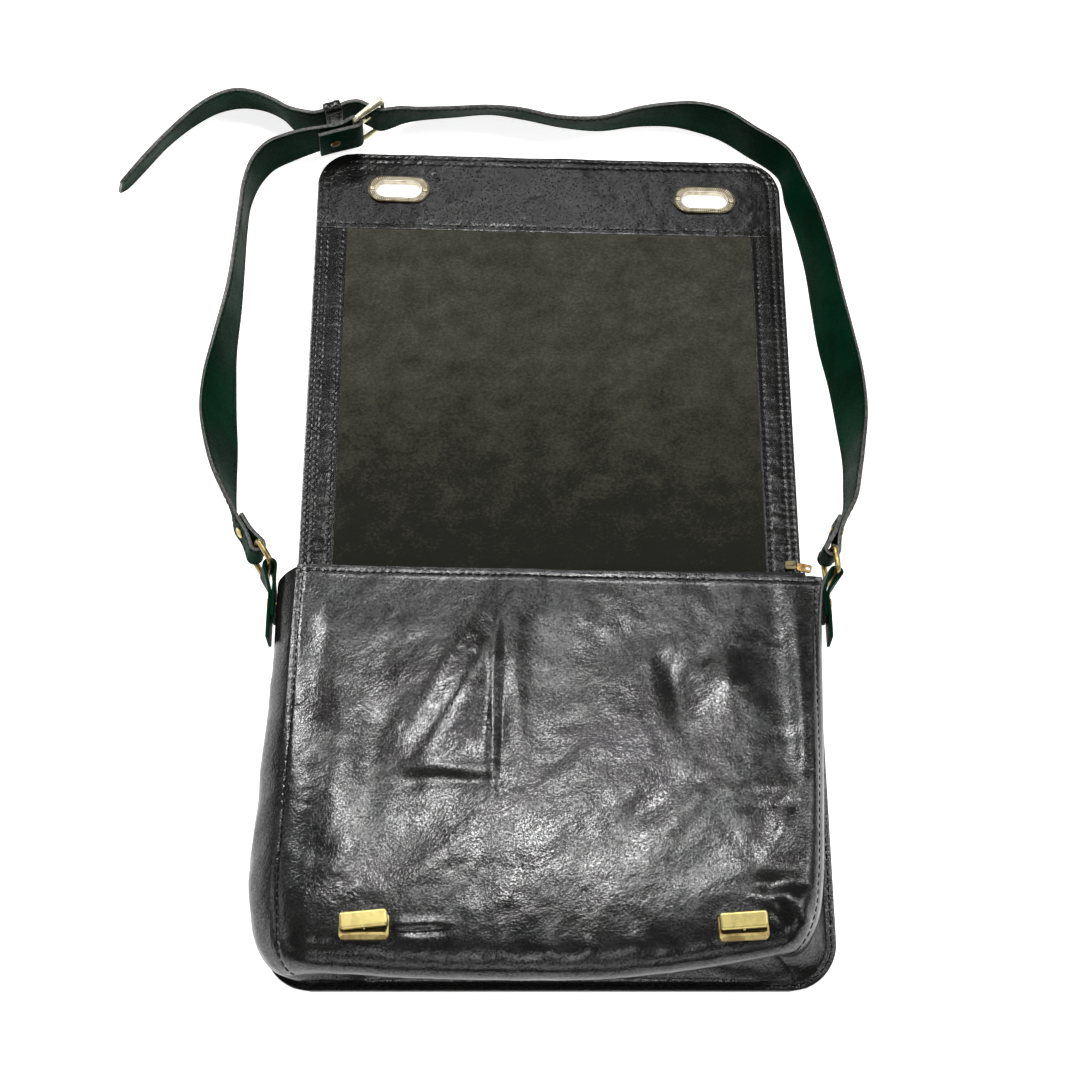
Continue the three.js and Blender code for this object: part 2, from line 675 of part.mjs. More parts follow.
/** Foot of a ring's upright bar: the strap's bar is at -1 along the ring, the tab's at +1. */
function ringBar(ring, end) {
  const away = (end * RING.width) / 2;
  const foot = upLean(ring.x, ring.y, leanOf(ring, LOOP_WIDTH), -RING.z);
  return vector(foot.x + away * ring.alongX, foot.y + away * ring.alongY, 0);
}

/** Folded end of a strap round its ring: rows of the fold, and where its rivet goes. */
function strapFold(side) {
  const ring = RINGS[side];
  const bar = ringBar(ring, -1);
  const [runX, runY] = STRAP_RUN_UP[side];
  const along = vector(runX, runY, 0).normalize();
  const out = vector(along.y, -along.x, 0).multiplyScalar(STRAP_OUT[side]);
  const like = { rise: LOOP_RISE, width: LOOP_WIDTH, leanX: ring.leanX, leanY: ring.leanY };
  const at = (up, aside) => {
    const { x, y } = bar.clone().addScaledVector(along, up).addScaledVector(out, aside);
    return { x, y };
  };
  const row = (up, aside) => ({ ...like, ...at(up, aside) });
  const fold = STRAP_FOLD;
  const radius = barRadius(STRAP_WALL, RING.wire);
  const back = out.clone().negate();
  const rows = [
    row(fold.end, -fold.closeHalf),
    row(fold.close, -fold.closeHalf),
    row(fold.open, -fold.openHalf),
    ...rowsRoundBar(bar, back, along.clone().negate(), radius, like),
    row(fold.open, fold.openHalf),
    row(fold.close, fold.closeHalf),
    row(fold.onward, fold.closeHalf),
  ];
  const lean = leanOf(ring, LOOP_WIDTH);
  const axis = along.clone().cross(lean).multiplyScalar(STRAP_OUT[side]);
  const face = at(fold.rivetAt, fold.closeHalf);
  const place = upLean(face.x, face.y, lean, RING.z).addScaledVector(axis, STRAP_WALL / 2 + GAP);
  return { rows, axis, place, grip: 2 * (fold.closeHalf + GAP) + STRAP_WALL };
}

/** Puts a piece made along +Y so that its Y points along `axis`. */
function pointed(geometry, axis, place) {
  const turn = new THREE.Quaternion().setFromUnitVectors(vector(0, 1, 0), axis.clone().normalize());
  return geometry.applyQuaternion(turn).translate(place.x, place.y, place.z);
}

const buckleAlong = vector(BUCKLE.alongX, BUCKLE.alongY, 0).normalize();
const buckleFar = vector(-buckleAlong.y, buckleAlong.x, 0);
const buckleLean = leanOf(BUCKLE, STRAP_W);
const buckleMiddle = FRAME.foot + FRAME.height / 2 + FRAME.wire / 2;

/** Point of the buckle: along the frame from its hinge, away to its far side, and up the lean. */
function bucklePoint(along, away, up) {
  return vector(BUCKLE.x, BUCKLE.y, 0)
    .addScaledVector(buckleAlong, along)
    .addScaledVector(buckleFar, away)
    .addScaledVector(buckleLean, up);
}

const prongSeat = new THREE.Matrix4()
  .makeBasis(buckleAlong, buckleFar, buckleLean)
  .setPosition(bucklePoint(0, 0, buckleMiddle));
const keeperTurn = degToRad(KEEPER.turnDeg);
const keeperAlong = vector(Math.cos(keeperTurn), Math.sin(keeperTurn), 0);

/** Frame whose top bar grows from the wire's size at the hinge to a broad end. */
function buckleFrame() {
  const frame = wireRing(FRAME);
  const points = frame.getAttribute("position");
  const inner = (FRAME.height - FRAME.wire) / 2;
  for (let k = 0; k < points.count; k += 1) {
    const [x, y, z] = [points.getX(k), points.getY(k), points.getZ(k)];
    const grow = lerp(1, FRAME.broad, clamp(x / FRAME.width + 0.5, 0, 1));
    if (y > inner) points.setXYZ(k, x, inner + (y - inner) * grow, z * grow);
  }
  return stand(frame, bucklePoint(FRAME.width / 2, 0, buckleMiddle), buckleAlong, buckleLean);
}

/** Prong with its eye round the hinge bar and its tip on the frame's end bar, grown by `fit` for its hole. */
function buckleProng(fit) {
  const shape = new THREE.Shape();
  const start = Math.asin(PRONG.armStart / PRONG.eye);
  shape.absarc(0, 0, PRONG.eye + fit, start + PRONG.eyeGap, start + 2 * Math.PI);
  shape.lineTo(PRONG.reach + fit, PRONG.tipIn - fit);
  shape.lineTo(PRONG.reach + fit, PRONG.armTip + fit);
  if (fit === 0) shape.holes.push(new THREE.Path().absarc(0, 0, FRAME.wire / 2 + GAP, 0, 2 * Math.PI));
  const wall = PRONG.wall + 2 * fit;
  const flat = plate(shape, wall, -wall / 2);
  return flat.applyMatrix4(prongSeat);
}

/** Slot through the strap's fold round the hinge bar, for the prong. */
function prongSlot() {
  const slot = new THREE.BoxGeometry(PRONG_SLOT.length, PRONG_SLOT.depth, PRONG.wall + 2 * PRONG_FIT);
  return slot.applyMatrix4(prongSeat);
}

/** Leather band round the long strap beside the buckle. */
function strapKeeper() {
  const { depth, height, wall, corner } = KEEPER;
  const outer = roundedRectangle(depth + 2 * wall, height + 2 * wall, corner + wall);
  outer.holes.push(roundedRectangle(depth, height, corner));
  const band = plate(outer, KEEPER.band, -KEEPER.band / 2);
  const across = vector(-keeperAlong.y, keeperAlong.x, 0);
  const place = vector(KEEPER.x, KEEPER.y, 0).addScaledVector(buckleLean, buckleMiddle);
  const turn = new THREE.Matrix4().makeBasis(across, buckleLean, keeperAlong).setPosition(place);
  return band.applyMatrix4(turn);
}

/** Where the buckle's rivet goes through the folded strap's two layers. */
function buckleRivetSeat() {
  const axis = keeperAlong.clone().cross(buckleLean).normalize();
  const { x, y, z } = BUCKLE_RIVET;
  const place = upLean(x, y, buckleLean, z).addScaledVector(axis, STRAP_WALL / 2 + GAP);
  return { axis, place };
}

/** Folded leather tab on the gusset, round the lower bar of a ring. */
function sideTab(side) {
  const ring = RINGS[side];
  const bar = ringBar(ring, 1);
  const out = STRAP_OUT[side];
  const flat = ({ offset, y }) => ({
    x: TAB_FACE[side] + out * (offset + TAB_WALL / 2),
    y,
    rise: LOOP_RISE,
    width: LOOP_WIDTH,
    leanX: 0,
    leanY: 0,
  });
  const like = { rise: LOOP_RISE, width: LOOP_WIDTH, leanX: ring.leanX, leanY: ring.leanY };
  const radius = barRadius(TAB_WALL, RING.wire);
  const loop = rowsRoundBar(bar, vector(out, 0, 0), vector(0, 1, 0), radius, like);
  return strip([...TAB_OUTER.map(flat), ...loop, ...TAB_INNER.map(flat)], TAB_WALL);
}

const bag = new THREE.Group();

function add(name, geometry, finish, parent = bag) {
  const mesh = new THREE.Mesh(geometry, new THREE.MeshStandardMaterial(FINISHES[finish]));
  mesh.name = name;
  parent.add(mesh);
}

add("back_and_flap", backAndFlap(), "leather");
add("flap_end_facing", flapEndFacing(), "leather");
add("flap_lining", flapLining(), "suede");
add("front_panel", bentSheet(frontSurface, FRONT_STEPS.across, FRONT_STEPS.along, LEATHER), "leather");
add("zip_tape", zipTape(), "tape");
add("zip_slider", smallBlock(SLIDER), "brass");
add("zip_pull", smallBlock(PULL), "brass");

// Tabs, their rivets and the gusset that they go through
let gussetStrip = gusset();
for (const side of SIDES) {
  const out = vector(STRAP_OUT[side], 0, 0);
  const face = TAB_FACE[side] + STRAP_OUT[side] * (TAB_OUTER[0].offset + TAB_WALL + GAP);
  const place = vector(face, TAB_RIVET_Y, LOOP_RISE + LOOP_WIDTH / 2);
  const hole = () => pointed(rivetHole(TAB_RIVET_GRIP), out, place);
  add(`side_tab_${side}`, cut(sideTab(side), hole()), "strap");
  add(`tab_rivet_${side}`, pointed(rivet(TAB_RIVET_GRIP), out, place), "brass");
  gussetStrip = cut(gussetStrip, hole());
}
add("gusset", gussetStrip, "leather");

for (const side of SIDES) {
  const ring = RINGS[side];
  const along = vector(ring.alongX, ring.alongY, 0);
  add(`flap_side_facing_${side}`, flapSideFacing(side), "leather");
  add(`slot_plate_${side}`, slotPlate(SLOTS[side]), "paleBrass");
  const place = vector(ring.x, ring.y, RING.z);
  add(`ring_${side}`, stand(wireRing(RING), place, along, leanOf(ring, LOOP_WIDTH)), "brass");

  const lock = new THREE.Group();
  const seat = frontAt(LOCKS[side].x, LOCKS[side].y);
  lock.position.copy(seat.point).addScaledVector(seat.normal, LEATHER / 2 + GAP);
  lock.quaternion.setFromUnitVectors(vector(0, 0, 1), seat.normal);
  const turned = new THREE.Group();
  turned.rotation.z = degToRad(LOCKS[side].baseTurn);
  const bar = new THREE.Group();
  bar.position.z = LOCK_BASE.depth + GAP;
  bar.rotation.z = degToRad(LOCKS[side].barTurn);
  bag.add(lock);
  lock.add(turned);
  turned.add(bar);
  add(`lock_base_${side}`, lockBase(), "brass", turned);
  add(`lock_bar_${side}`, lockBar(), "brass", bar);
}

// Straps with their folded ends, rivets, buckle and keeper
const folds = { left: strapFold("left"), right: strapFold("right") };
const foldHole = (side) => pointed(rivetHole(folds[side].grip), folds[side].axis, folds[side].place);
for (const side of SIDES) {
  const { axis, place, grip } = folds[side];
  add(`strap_rivet_${side}`, pointed(rivet(grip), axis, place), "brass");
}
const longStrap = strip([...folds.right.rows, ...LONG_STRAP_RUN], STRAP_WALL);
add("strap_long", cut(longStrap, foldHole("right"), buckleProng(PRONG_FIT)), "strap");

const hingeLike = { ...SHORT_STRAP_RETURN[0] };
const hingeBar = vector(BUCKLE.x, BUCKLE.y, 0);
const hingeRadius = barRadius(STRAP_WALL, FRAME.wire);
const hingeRows = rowsRoundBar(hingeBar, buckleFar, buckleAlong, hingeRadius, hingeLike);
const shortRows = [...folds.left.rows, ...SHORT_STRAP_RUN, ...hingeRows, ...SHORT_STRAP_RETURN];
const shortStrap = strip(shortRows, STRAP_WALL);
const { axis: rivetAxis, place: rivetPlace } = buckleRivetSeat();
const buckleHole = () => pointed(rivetHole(BUCKLE_RIVET.grip), rivetAxis, rivetPlace);
add("strap_short", cut(shortStrap, foldHole("left"), buckleHole(), prongSlot()), "strap");
add("buckle_frame", buckleFrame(), "brass");
add("buckle_prong", buckleProng(0), "brass");
add("buckle_rivet", pointed(rivet(BUCKLE_RIVET.grip), rivetAxis, rivetPlace), "brass");
add("strap_keeper", strapKeeper(), "strap");

export default bag;
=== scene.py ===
"""Looks of a black leather messenger bag that lies on its back with its flap thrown open.

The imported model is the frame: metres, +Z up, origin under the middle of the back panel, +Y towards the
end of the open flap. Tables of sections are in millimetres, as a pattern cutter would note them.
"""

import logging
import math
from collections.abc import Callable, Sequence
from dataclasses import dataclass, field
from enum import Enum
from typing import NamedTuple

import bpy
import numpy as np
from mathutils import Matrix, Vector, noise


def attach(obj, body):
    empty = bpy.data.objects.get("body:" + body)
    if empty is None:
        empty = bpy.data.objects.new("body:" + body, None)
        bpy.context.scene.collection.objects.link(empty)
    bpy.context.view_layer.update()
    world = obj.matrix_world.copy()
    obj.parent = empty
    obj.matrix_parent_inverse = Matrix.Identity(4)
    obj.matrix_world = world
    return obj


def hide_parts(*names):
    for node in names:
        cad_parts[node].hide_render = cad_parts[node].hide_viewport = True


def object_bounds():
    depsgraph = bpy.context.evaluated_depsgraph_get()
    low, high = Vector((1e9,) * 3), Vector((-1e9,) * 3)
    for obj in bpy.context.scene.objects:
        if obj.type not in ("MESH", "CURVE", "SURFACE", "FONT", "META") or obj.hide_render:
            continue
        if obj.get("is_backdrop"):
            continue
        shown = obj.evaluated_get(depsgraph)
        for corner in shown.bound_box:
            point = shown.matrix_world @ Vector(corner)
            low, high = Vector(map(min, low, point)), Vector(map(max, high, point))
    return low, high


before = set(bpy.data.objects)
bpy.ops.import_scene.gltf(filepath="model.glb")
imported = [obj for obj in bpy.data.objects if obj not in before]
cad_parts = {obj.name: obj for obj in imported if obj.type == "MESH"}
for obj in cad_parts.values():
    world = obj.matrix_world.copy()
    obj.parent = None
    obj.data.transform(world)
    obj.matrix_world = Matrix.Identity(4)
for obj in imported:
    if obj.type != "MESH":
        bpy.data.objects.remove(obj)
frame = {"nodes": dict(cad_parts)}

MM = 0.001
BAG = "bag"
CAD_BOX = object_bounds()
METAL_SLOTS = ("brass", "brass_tan", "pale_brass")
log = logging.getLogger("messenger_bag")

Colour = tuple[float, float, float]
Surface = Callable[[np.ndarray, np.ndarray], np.ndarray]


class Side(Enum):
    """The bag's left and right, as seen with the flap away from the viewer."""

    LEFT = "left"
    RIGHT = "right"

    @property
    def sign(self) -> int:
        """-1 for left and +1 for right, as along the X axis."""
        return -1 if self is Side.LEFT else 1


# Mesh helpers


def activate(obj: bpy.types.Object) -> None:
    """Deselects everything else and makes one object the active one."""
    bpy.ops.object.select_all(action="DESELECT")
    obj.select_set(True)
    bpy.context.view_layer.objects.active = obj


def modify(obj: bpy.types.Object, kind: str, **settings) -> None:
    """Adds a modifier to a piece and applies it.

    Args:
        obj: The piece.
        kind: Type of the modifier.
        settings: Values of the modifier's own properties.
    """
    activate(obj)
    modifier = obj.modifiers.new(kind.title(), kind)
    for name, value in settings.items():
        setattr(modifier, name, value)
    bpy.ops.object.modifier_apply(modifier=modifier.name)


def new_piece(name: str) -> bpy.types.Object:
    """Names the object that an operator has just added and returns it."""
    obj = bpy.context.active_object
    obj.name = name
    obj.data.name = name
    return obj


def points_of(obj: bpy.types.Object) -> np.ndarray:
    """Vertex places of a mesh as rows of x, y, z."""
    places = np.empty(3 * len(obj.data.vertices))
    obj.data.vertices.foreach_get("co", places)
    return places.reshape(-1, 3)


def move_points(obj: bpy.types.Object, places: np.ndarray) -> None:
    """Puts a mesh's vertices at new places."""
    obj.data.vertices.foreach_set("co", np.ascontiguousarray(places, dtype=float).ravel())
    obj.data.update()


def dress(obj: bpy.types.Object, *materials: bpy.types.Material) -> None:
    """Gives a piece its materials, one slot each."""
    obj.data.materials.clear()
    for material in materials:
        obj.data.materials.append(material)


def hand_over(obj: bpy.types.Object, slot: str, *nodes: str, body: str = BAG) -> bpy.types.Object:
    """Smooths a finished piece and ties it to the frame.

    Args:
        obj: The finished piece.
        slot: The record's material slot of the piece; metal slots get weighted normals.
        nodes: CAD nodes that it stands for.
        body: The body that it moves with.

    Returns:
        The same piece.
    """
    activate(obj)
    bpy.ops.object.shade_smooth_by_angle(angle=math.radians(40))
    if slot in METAL_SLOTS:
        modify(obj, "WEIGHTED_NORMAL", keep_sharp=True)
    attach(obj, body)
    if nodes:
        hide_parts(*nodes)
    log.info("%s: %d faces, for %s", obj.name, len(obj.data.polygons), ", ".join(nodes) or "no node")
    return obj


def sheet(name: str, surface: Surface, across: int, along: int) -> bpy.types.Object:
    """A grid whose points are moved onto a surface.

    Args:
        name: Name of the piece.
        surface: Function from arrays of shares u and v to points in metres.
        across: Steps in u.
        along: Steps in v.

    Returns:
        The open sheet, with its faces turned to the side that u turned towards v points to.
    """
    bpy.ops.object.select_all(action="DESELECT")
    bpy.ops.mesh.primitive_grid_add(x_subdivisions=across, y_subdivisions=along, size=1)
    obj = new_piece(name)
    flat = points_of(obj)
    move_points(obj, surface(flat[:, 0] + 0.5, flat[:, 1] + 0.5))
    return obj


def round_edges(obj: bpy.types.Object, width: float, sharp: float, **settings) -> None:
    """Rounds the edges of a piece that are sharper than an angle.

    Args:
        obj: The piece.
        width: Width of the rounding in mm.
        sharp: The angle in degrees.
        settings: Further values of the modifier.
    """
    limit = math.radians(sharp)
    modify(obj, "BEVEL", width=width * MM, segments=2, limit_method="ANGLE", angle_limit=limit, **settings)


def thicken(obj: bpy.types.Object, wall: float, rounding: float) -> None:
    """Makes a sheet a wall about its middle, its cut edges in the second material, rounded off.

    Args:
        obj: The open sheet, with its materials in place.
        wall: Thickness in mm.
        rounding: Width of the rounded edge in mm.
    """
    modify(obj, "SOLIDIFY", thickness=wall * MM, offset=0, use_even_offset=True, material_offset_rim=1)
    round_edges(obj, rounding, 55)


def cut_away(obj: bpy.types.Object, *cutters: bpy.types.Object) -> None:
    """Cuts blocks out of a piece and removes the blocks."""
    for cutter in cutters:
        modify(obj, "BOOLEAN", object=cutter, operation="DIFFERENCE", solver="EXACT")
        bpy.data.objects.remove(cutter)


def soft_piece(
    name: str,
    surface: Surface,
    steps: tuple[int, int],
    looks: Sequence[bpy.types.Material],
    wall: tuple[float, float],
    tie: tuple[str, str],
    cutters: Sequence[bpy.types.Object] = (),
) -> None:
    """Makes one piece of leather or cloth from the middle of its wall and ties it to the frame.

    Args:
        name: Name of the piece.
        surface: Middle of the wall.
        steps: Steps in u and in v.
        looks: Materials of the faces and of the cut edges.
        wall: Thickness and width of the rounded edges in mm.
        tie: Material slot, and CAD node that the piece stands for.
        cutters: Blocks that are cut out of it.
    """
    obj = sheet(name, surface, *steps)
    dress(obj, *looks)
    thicken(obj, *wall)
    cut_away(obj, *cutters)
    hand_over(obj, *tie)


def bevel_edges(
    obj: bpy.types.Object, wanted: Callable[[Vector, Vector], bool], offset: float, segments: int
) -> None:
    """Bevels the edges whose two ends pass a test.

    Args:
        obj: The piece.
        wanted: Test of an edge's two ends.
        offset: Width of the bevel in metres.
        segments: Steps across the bevel.
    """
    activate(obj)
    bpy.ops.object.mode_set(mode="EDIT")
    bpy.ops.mesh.select_mode(type="EDGE")
    bpy.ops.mesh.select_all(action="DESELECT")
    bpy.ops.object.mode_set(mode="OBJECT")
    points = [vertex.co for vertex in obj.data.vertices]
    for edge in obj.data.edges:
        edge.select = wanted(points[edge.vertices[0]], points[edge.vertices[1]])
    bpy.ops.object.mode_set(mode="EDIT")
    bpy.ops.mesh.bevel(offset=offset, segments=segments, affect="EDGES")
    bpy.ops.object.mode_set(mode="OBJECT")


def rounded_block(
    name: str, size: Sequence[float], corner: float, rounding: float = 0, segments: int = 8
) -> bpy.types.Object:
    """A block with round upright corners and rounded rims, standing on z = 0 about the Z axis.

    Args:
        name: Name of the piece.
        size: Length, width and height in mm.
        corner: Radius of the upright corners in mm; half the width gives round ends.
        rounding: Radius of the top and bottom rims in mm; none if zero.
        segments: Steps round each corner.

    Returns:
        The block.
    """
    length, width, height = (value * MM for value in size)
    bpy.ops.object.select_all(action="DESELECT")
    bpy.ops.mesh.primitive_cube_add(size=1)
    obj = new_piece(name)
    obj.data.transform(Matrix.Translation((0, 0, height / 2)) @ Matrix.Diagonal((length, width, height, 1)))
    radius = min(corner * MM, width / 2 - 1e-5)
    bevel_edges(obj, lambda a, b: abs(a.z - b.z) > height / 2, radius, segments)
    if rounding:
        bevel_edges(obj, lambda a, b: abs(a.z - b.z) < 1e-7, rounding * MM, 3)
    return obj


def shift(obj: bpy.types.Object, x: float, y: float, z: float, turn: float = 0) -> None:
    """Turns a piece about the Z axis by a turn in radians, then moves it by a step in mm."""
    obj.data.transform(Matrix.Translation((x * MM, y * MM, z * MM)) @ Matrix.Rotation(turn, 4, "Z"))


def lathe(name: str, profile: Sequence[tuple[float, float]], steps: int = 24) -> bpy.types.Object:
    """Spins a profile of radius and height about the Z axis.

    Args:
        name: Name of the piece.
        profile: Points from the axis outwards and back to the axis, in mm.
        steps: Steps of the full turn.

    Returns:
        The closed turned piece.
    """
    bpy.ops.object.select_all(action="DESELECT")
    mesh = bpy.data.meshes.new(name)
    count = len(profile)
    points = [(r * MM, 0, z * MM) for r, z in profile]
    mesh.from_pydata(points, [(k, k + 1) for k in range(count - 1)], [])
    obj = bpy.data.objects.new(name, mesh)
    bpy.context.scene.collection.objects.link(obj)
    activate(obj)
    bpy.ops.object.mode_set(mode="EDIT")
    bpy.ops.mesh.select_all(action="SELECT")
    bpy.ops.mesh.spin(steps=steps, angle=2 * math.pi, center=(0, 0, 0), axis=(0, 0, 1))
    bpy.ops.mesh.select_all(action="SELECT")
    bpy.ops.mesh.remove_doubles(threshold=1e-6)
    bpy.ops.mesh.normals_make_consistent(inside=False)
    bpy.ops.object.mode_set(mode="OBJECT")
    return obj


def wire_ring(name: str, width: float, height: float, corner: float, wire: float) -> bpy.types.Object:
    """Round wire bent to a rounded rectangle in the XY plane, in mm: a torus drawn apart at its quarters."""
    bpy.ops.object.select_all(action="DESELECT")
    bpy.ops.mesh.primitive_torus_add(
        major_radius=corner * MM, minor_radius=wire * MM / 2, major_segments=32, minor_segments=14
    )
    obj = new_piece(name)
    points = points_of(obj)
    for axis, size in enumerate((width, height)):
        side = np.where(np.abs(points[:, axis]) < 1e-6, 0, np.sign(points[:, axis]))
        points[:, axis] += side * (size * MM / 2 - corner * MM)
    move_points(obj, points)
    return obj


# Curves through rows of a table


def hermite(places: np.ndarray, values: np.ndarray, at: np.ndarray) -> np.ndarray:
    """Smooth rows between the rows of a table, level at both ends.

    Args:
        places: Rising place of each row.
        values: One row of numbers for each place.
        at: Places asked for.

    Returns:
        One row of numbers for each place asked for.
    """
    run = np.diff(places)[:, None]
    steps = np.diff(values, axis=0) / run
    slopes = np.zeros_like(values)
    slopes[1:-1] = (steps[1:] + steps[:-1]) / 2
    k = np.clip(np.searchsorted(places, at, side="right") - 1, 0, len(places) - 2)
    h = run[k]
    t = ((at - places[k])[:, None]) / h
    near = (1 + 2 * t) * (1 - t) ** 2 * values[k] + t**2 * (3 - 2 * t) * values[k + 1]
    return near + h * t * (1 - t) * ((1 - t) * slopes[k] - t * slopes[k + 1])


def flowing_line(points: np.ndarray, at: np.ndarray) -> np.ndarray:
    """Smooth line through points, each at an even share of the way.

    Args:
        points: The points, one a row.
        at: Shares from 0 to 1.

    Returns:
        One point for each share.
    """
    ends = np.vstack([2 * points[:1] - points[1:2], points, 2 * points[-1:] - points[-2:-1]])
    spans = np.sqrt(np.linalg.norm(np.diff(ends, axis=0), axis=1))[:, None]
    where = np.clip(at, 0, 1) * (len(points) - 1)
    k = np.minimum(where.astype(int), len(points) - 2)
    t = (where - k)[:, None]
    p0, p1, p2, p3 = (ends[k + step] for step in range(4))
    d0, d1, d2 = (spans[k + step] for step in range(3))
    leave = d1 * ((p1 - p0) / d0 - (p2 - p0) / (d0 + d1) + (p2 - p1) / d1)
    reach = d1 * ((p2 - p1) / d1 - (p3 - p1) / (d1 + d2) + (p3 - p2) / d2)
    cubic = 2 * (p1 - p2) + leave + reach
    square = 3 * (p2 - p1) - 2 * leave - reach
    return ((cubic * t + square) * t + leave) * t + p1


def reach_of(line: np.ndarray) -> np.ndarray:
    """Distance along a line at each of its points."""
    return np.concatenate([[0], np.cumsum(np.linalg.norm(np.diff(line, axis=0), axis=1))])


def smoothstep(value: np.ndarray, low: float, high: float) -> np.ndarray:
    """0 below low, 1 above high and a smooth rise between."""
    t = np.clip((value - low) / (high - low), 0, 1)
    return t * t * (3 - 2 * t)


def crumple(points: np.ndarray, size: float, octaves: int = 3) -> np.ndarray:
    """Smooth random heights, about -1 to 1, that are the same at each run.

    Args:
        points: Points in metres.
        size: Width of the largest bumps in metres.
        octaves: How many finer layers there are.

    Returns:
        One height for each point.
    """
    return np.array([noise.fractal(Vector(p) / size, 1.0, 2.0, octaves) for p in points])


def normals_of(surface: Surface, u: np.ndarray, v: np.ndarray) -> np.ndarray:
    """Unit normals of a surface, on the side that u turned towards v points to."""
    step = 1e-3
    along_u = surface(np.minimum(u + step, 1), v) - surface(np.maximum(u - step, 0), v)
    along_v = surface(u, np.minimum(v + step, 1)) - surface(u, np.maximum(v - step, 0))
    normal = np.cross(along_u, along_v)
    return normal / np.linalg.norm(normal, axis=1)[:, None]


# Finishes


class Shader:
    """A principled material with a few words for adding texture nodes to it."""

    def __init__(self, name: str) -> None:
        """Starts a material with object coordinates ready for use."""
        self.material = bpy.data.materials.new(name)
        self.material.use_nodes = True
        self.tree = self.material.node_tree
        self.surface = self.tree.nodes["Principled BSDF"]
        self.place = self.tree.nodes.new("ShaderNodeTexCoord").outputs["Object"]

    def add(self, kind: str, inputs: dict[str | int, object], **settings) -> bpy.types.Node:
        """Adds a node, links or sets its inputs and returns it.

        Args:
            kind: The node's type, without its "ShaderNode" prefix.
            inputs: Sockets to link or values to set, by input name.
            settings: Values of the node's own properties.

        Returns:
            The node.
        """
        node = self.tree.nodes.new("ShaderNode" + kind)
        for name, value in settings.items():
            setattr(node, name, value)
        for name, value in inputs.items():
            self.put(node, name, value)
        return node

    def put(self, node: bpy.types.Node, name: str | int, value: object) -> None:
        """Links a socket to an input, or sets the input's value."""
        if isinstance(value, bpy.types.NodeSocket):
            self.tree.links.new(value, node.inputs[name])
        else:
            node.inputs[name].default_value = value

    def set(self, **inputs) -> None:
        """Links or sets the principled shader's inputs, with _ for spaces in their names."""
        for name, value in inputs.items():
            self.put(self.surface, name.replace("_", " "), value)

    def noise(
        self, scale: float, detail: float = 3, distortion: float = 0, stretch: float = 1, turn: float = 0
    ) -> bpy.types.NodeSocket:
        """Cloudy noise in object space, finer with scale, drawn out along an axis turned from x."""
        draw = {"Vector": self.place, "Scale": (stretch, 1, 1), "Rotation": (0, 0, math.radians(turn))}
        where = self.add("Mapping", draw, vector_type="TEXTURE").outputs["Vector"]
        inputs = {"Vector": where, "Scale": scale, "Detail": detail, "Distortion": distortion}
        return self.add("TexNoise", inputs).outputs["Fac"]

    def cells(self, scale: float, feature: str = "DISTANCE_TO_EDGE") -> bpy.types.NodeSocket:
        """Distances in a cell pattern in object space, finer with scale."""
        inputs = {"Vector": self.place, "Scale": scale}
        return self.add("TexVoronoi", inputs, feature=feature).outputs["Distance"]

    def span(
        self, value: bpy.types.NodeSocket, low: float, high: float, start: float = 0.3, end: float = 0.7
    ) -> bpy.types.NodeSocket:
        """Spreads a value from a start-end range over low to high."""
        inputs = {"Value": value, "From Min": start, "From Max": end, "To Min": low, "To Max": high}
        return self.add("MapRange", inputs).outputs["Result"]

    def on_top(
        self, base: bpy.types.NodeSocket, value: bpy.types.NodeSocket, share: float
    ) -> bpy.types.NodeSocket:
        """Adds a share of a value to a base."""
        return self.add("Math", {0: value, 1: share, 2: base}, operation="MULTIPLY_ADD").outputs["Value"]

    def ramp(self, value: bpy.types.NodeSocket, *stops: tuple[float, Colour]) -> bpy.types.NodeSocket:
        """Colours along a value, from stops of place and colour."""
        node = self.add("ValToRGB", {"Fac": value})
        elements = node.color_ramp.elements
        while len(elements) < len(stops):
            elements.new(1)
        for element, (at, colour) in zip(elements, stops):
            element.position = at
            element.color = (*colour, 1)
        return node.outputs["Color"]

    def bump(
        self,
        height: bpy.types.NodeSocket,
        depth: float,
        strength: float = 1,
        below: bpy.types.NodeSocket | None = None,
    ) -> bpy.types.NodeSocket:
        """Fine relief of a depth in metres, on top of other relief if that is given."""
        inputs = {"Height": height, "Distance": depth, "Strength": strength}
        if below is not None:
            inputs["Normal"] = below
        return self.add("Bump", inputs).outputs["Normal"]


@dataclass(frozen=True)
class Leather:
    """Grained leather: pebbles and fine creases, cloudy colour and gloss."""

    name: str
    dark: Colour
    light: Colour
    gloss: tuple[float, float] = (0.15, 0.29)
    specular: float = 0.5
    grain: float = 760
    grain_depth: float = 0.00016
    cloud: float = 22
    crease: float = 170
    crease_depth: float = 0.00026

    def material(self) -> bpy.types.Material:
        """Builds the finish."""
        look = Shader(self.name)
        cloud = look.noise(self.cloud, 5, 0.6)
        look.set(Base_Color=look.ramp(cloud, (0.32, self.dark), (0.7, self.light)))
        look.set(Roughness=look.span(look.noise(38, 6, 0.4), *self.gloss))
        creases = look.bump(look.noise(self.crease, 4, 0.4, 1.6, 38), self.crease_depth)
        pits = look.noise(self.grain, 3, 0.3)
        look.set(Specular_IOR_Level=look.span(pits, 0.4 * self.specular, 1.65 * self.specular, 0.33, 0.67))
        look.set(Normal=look.bump(pits, self.grain_depth, 1, creases))
        return look.material


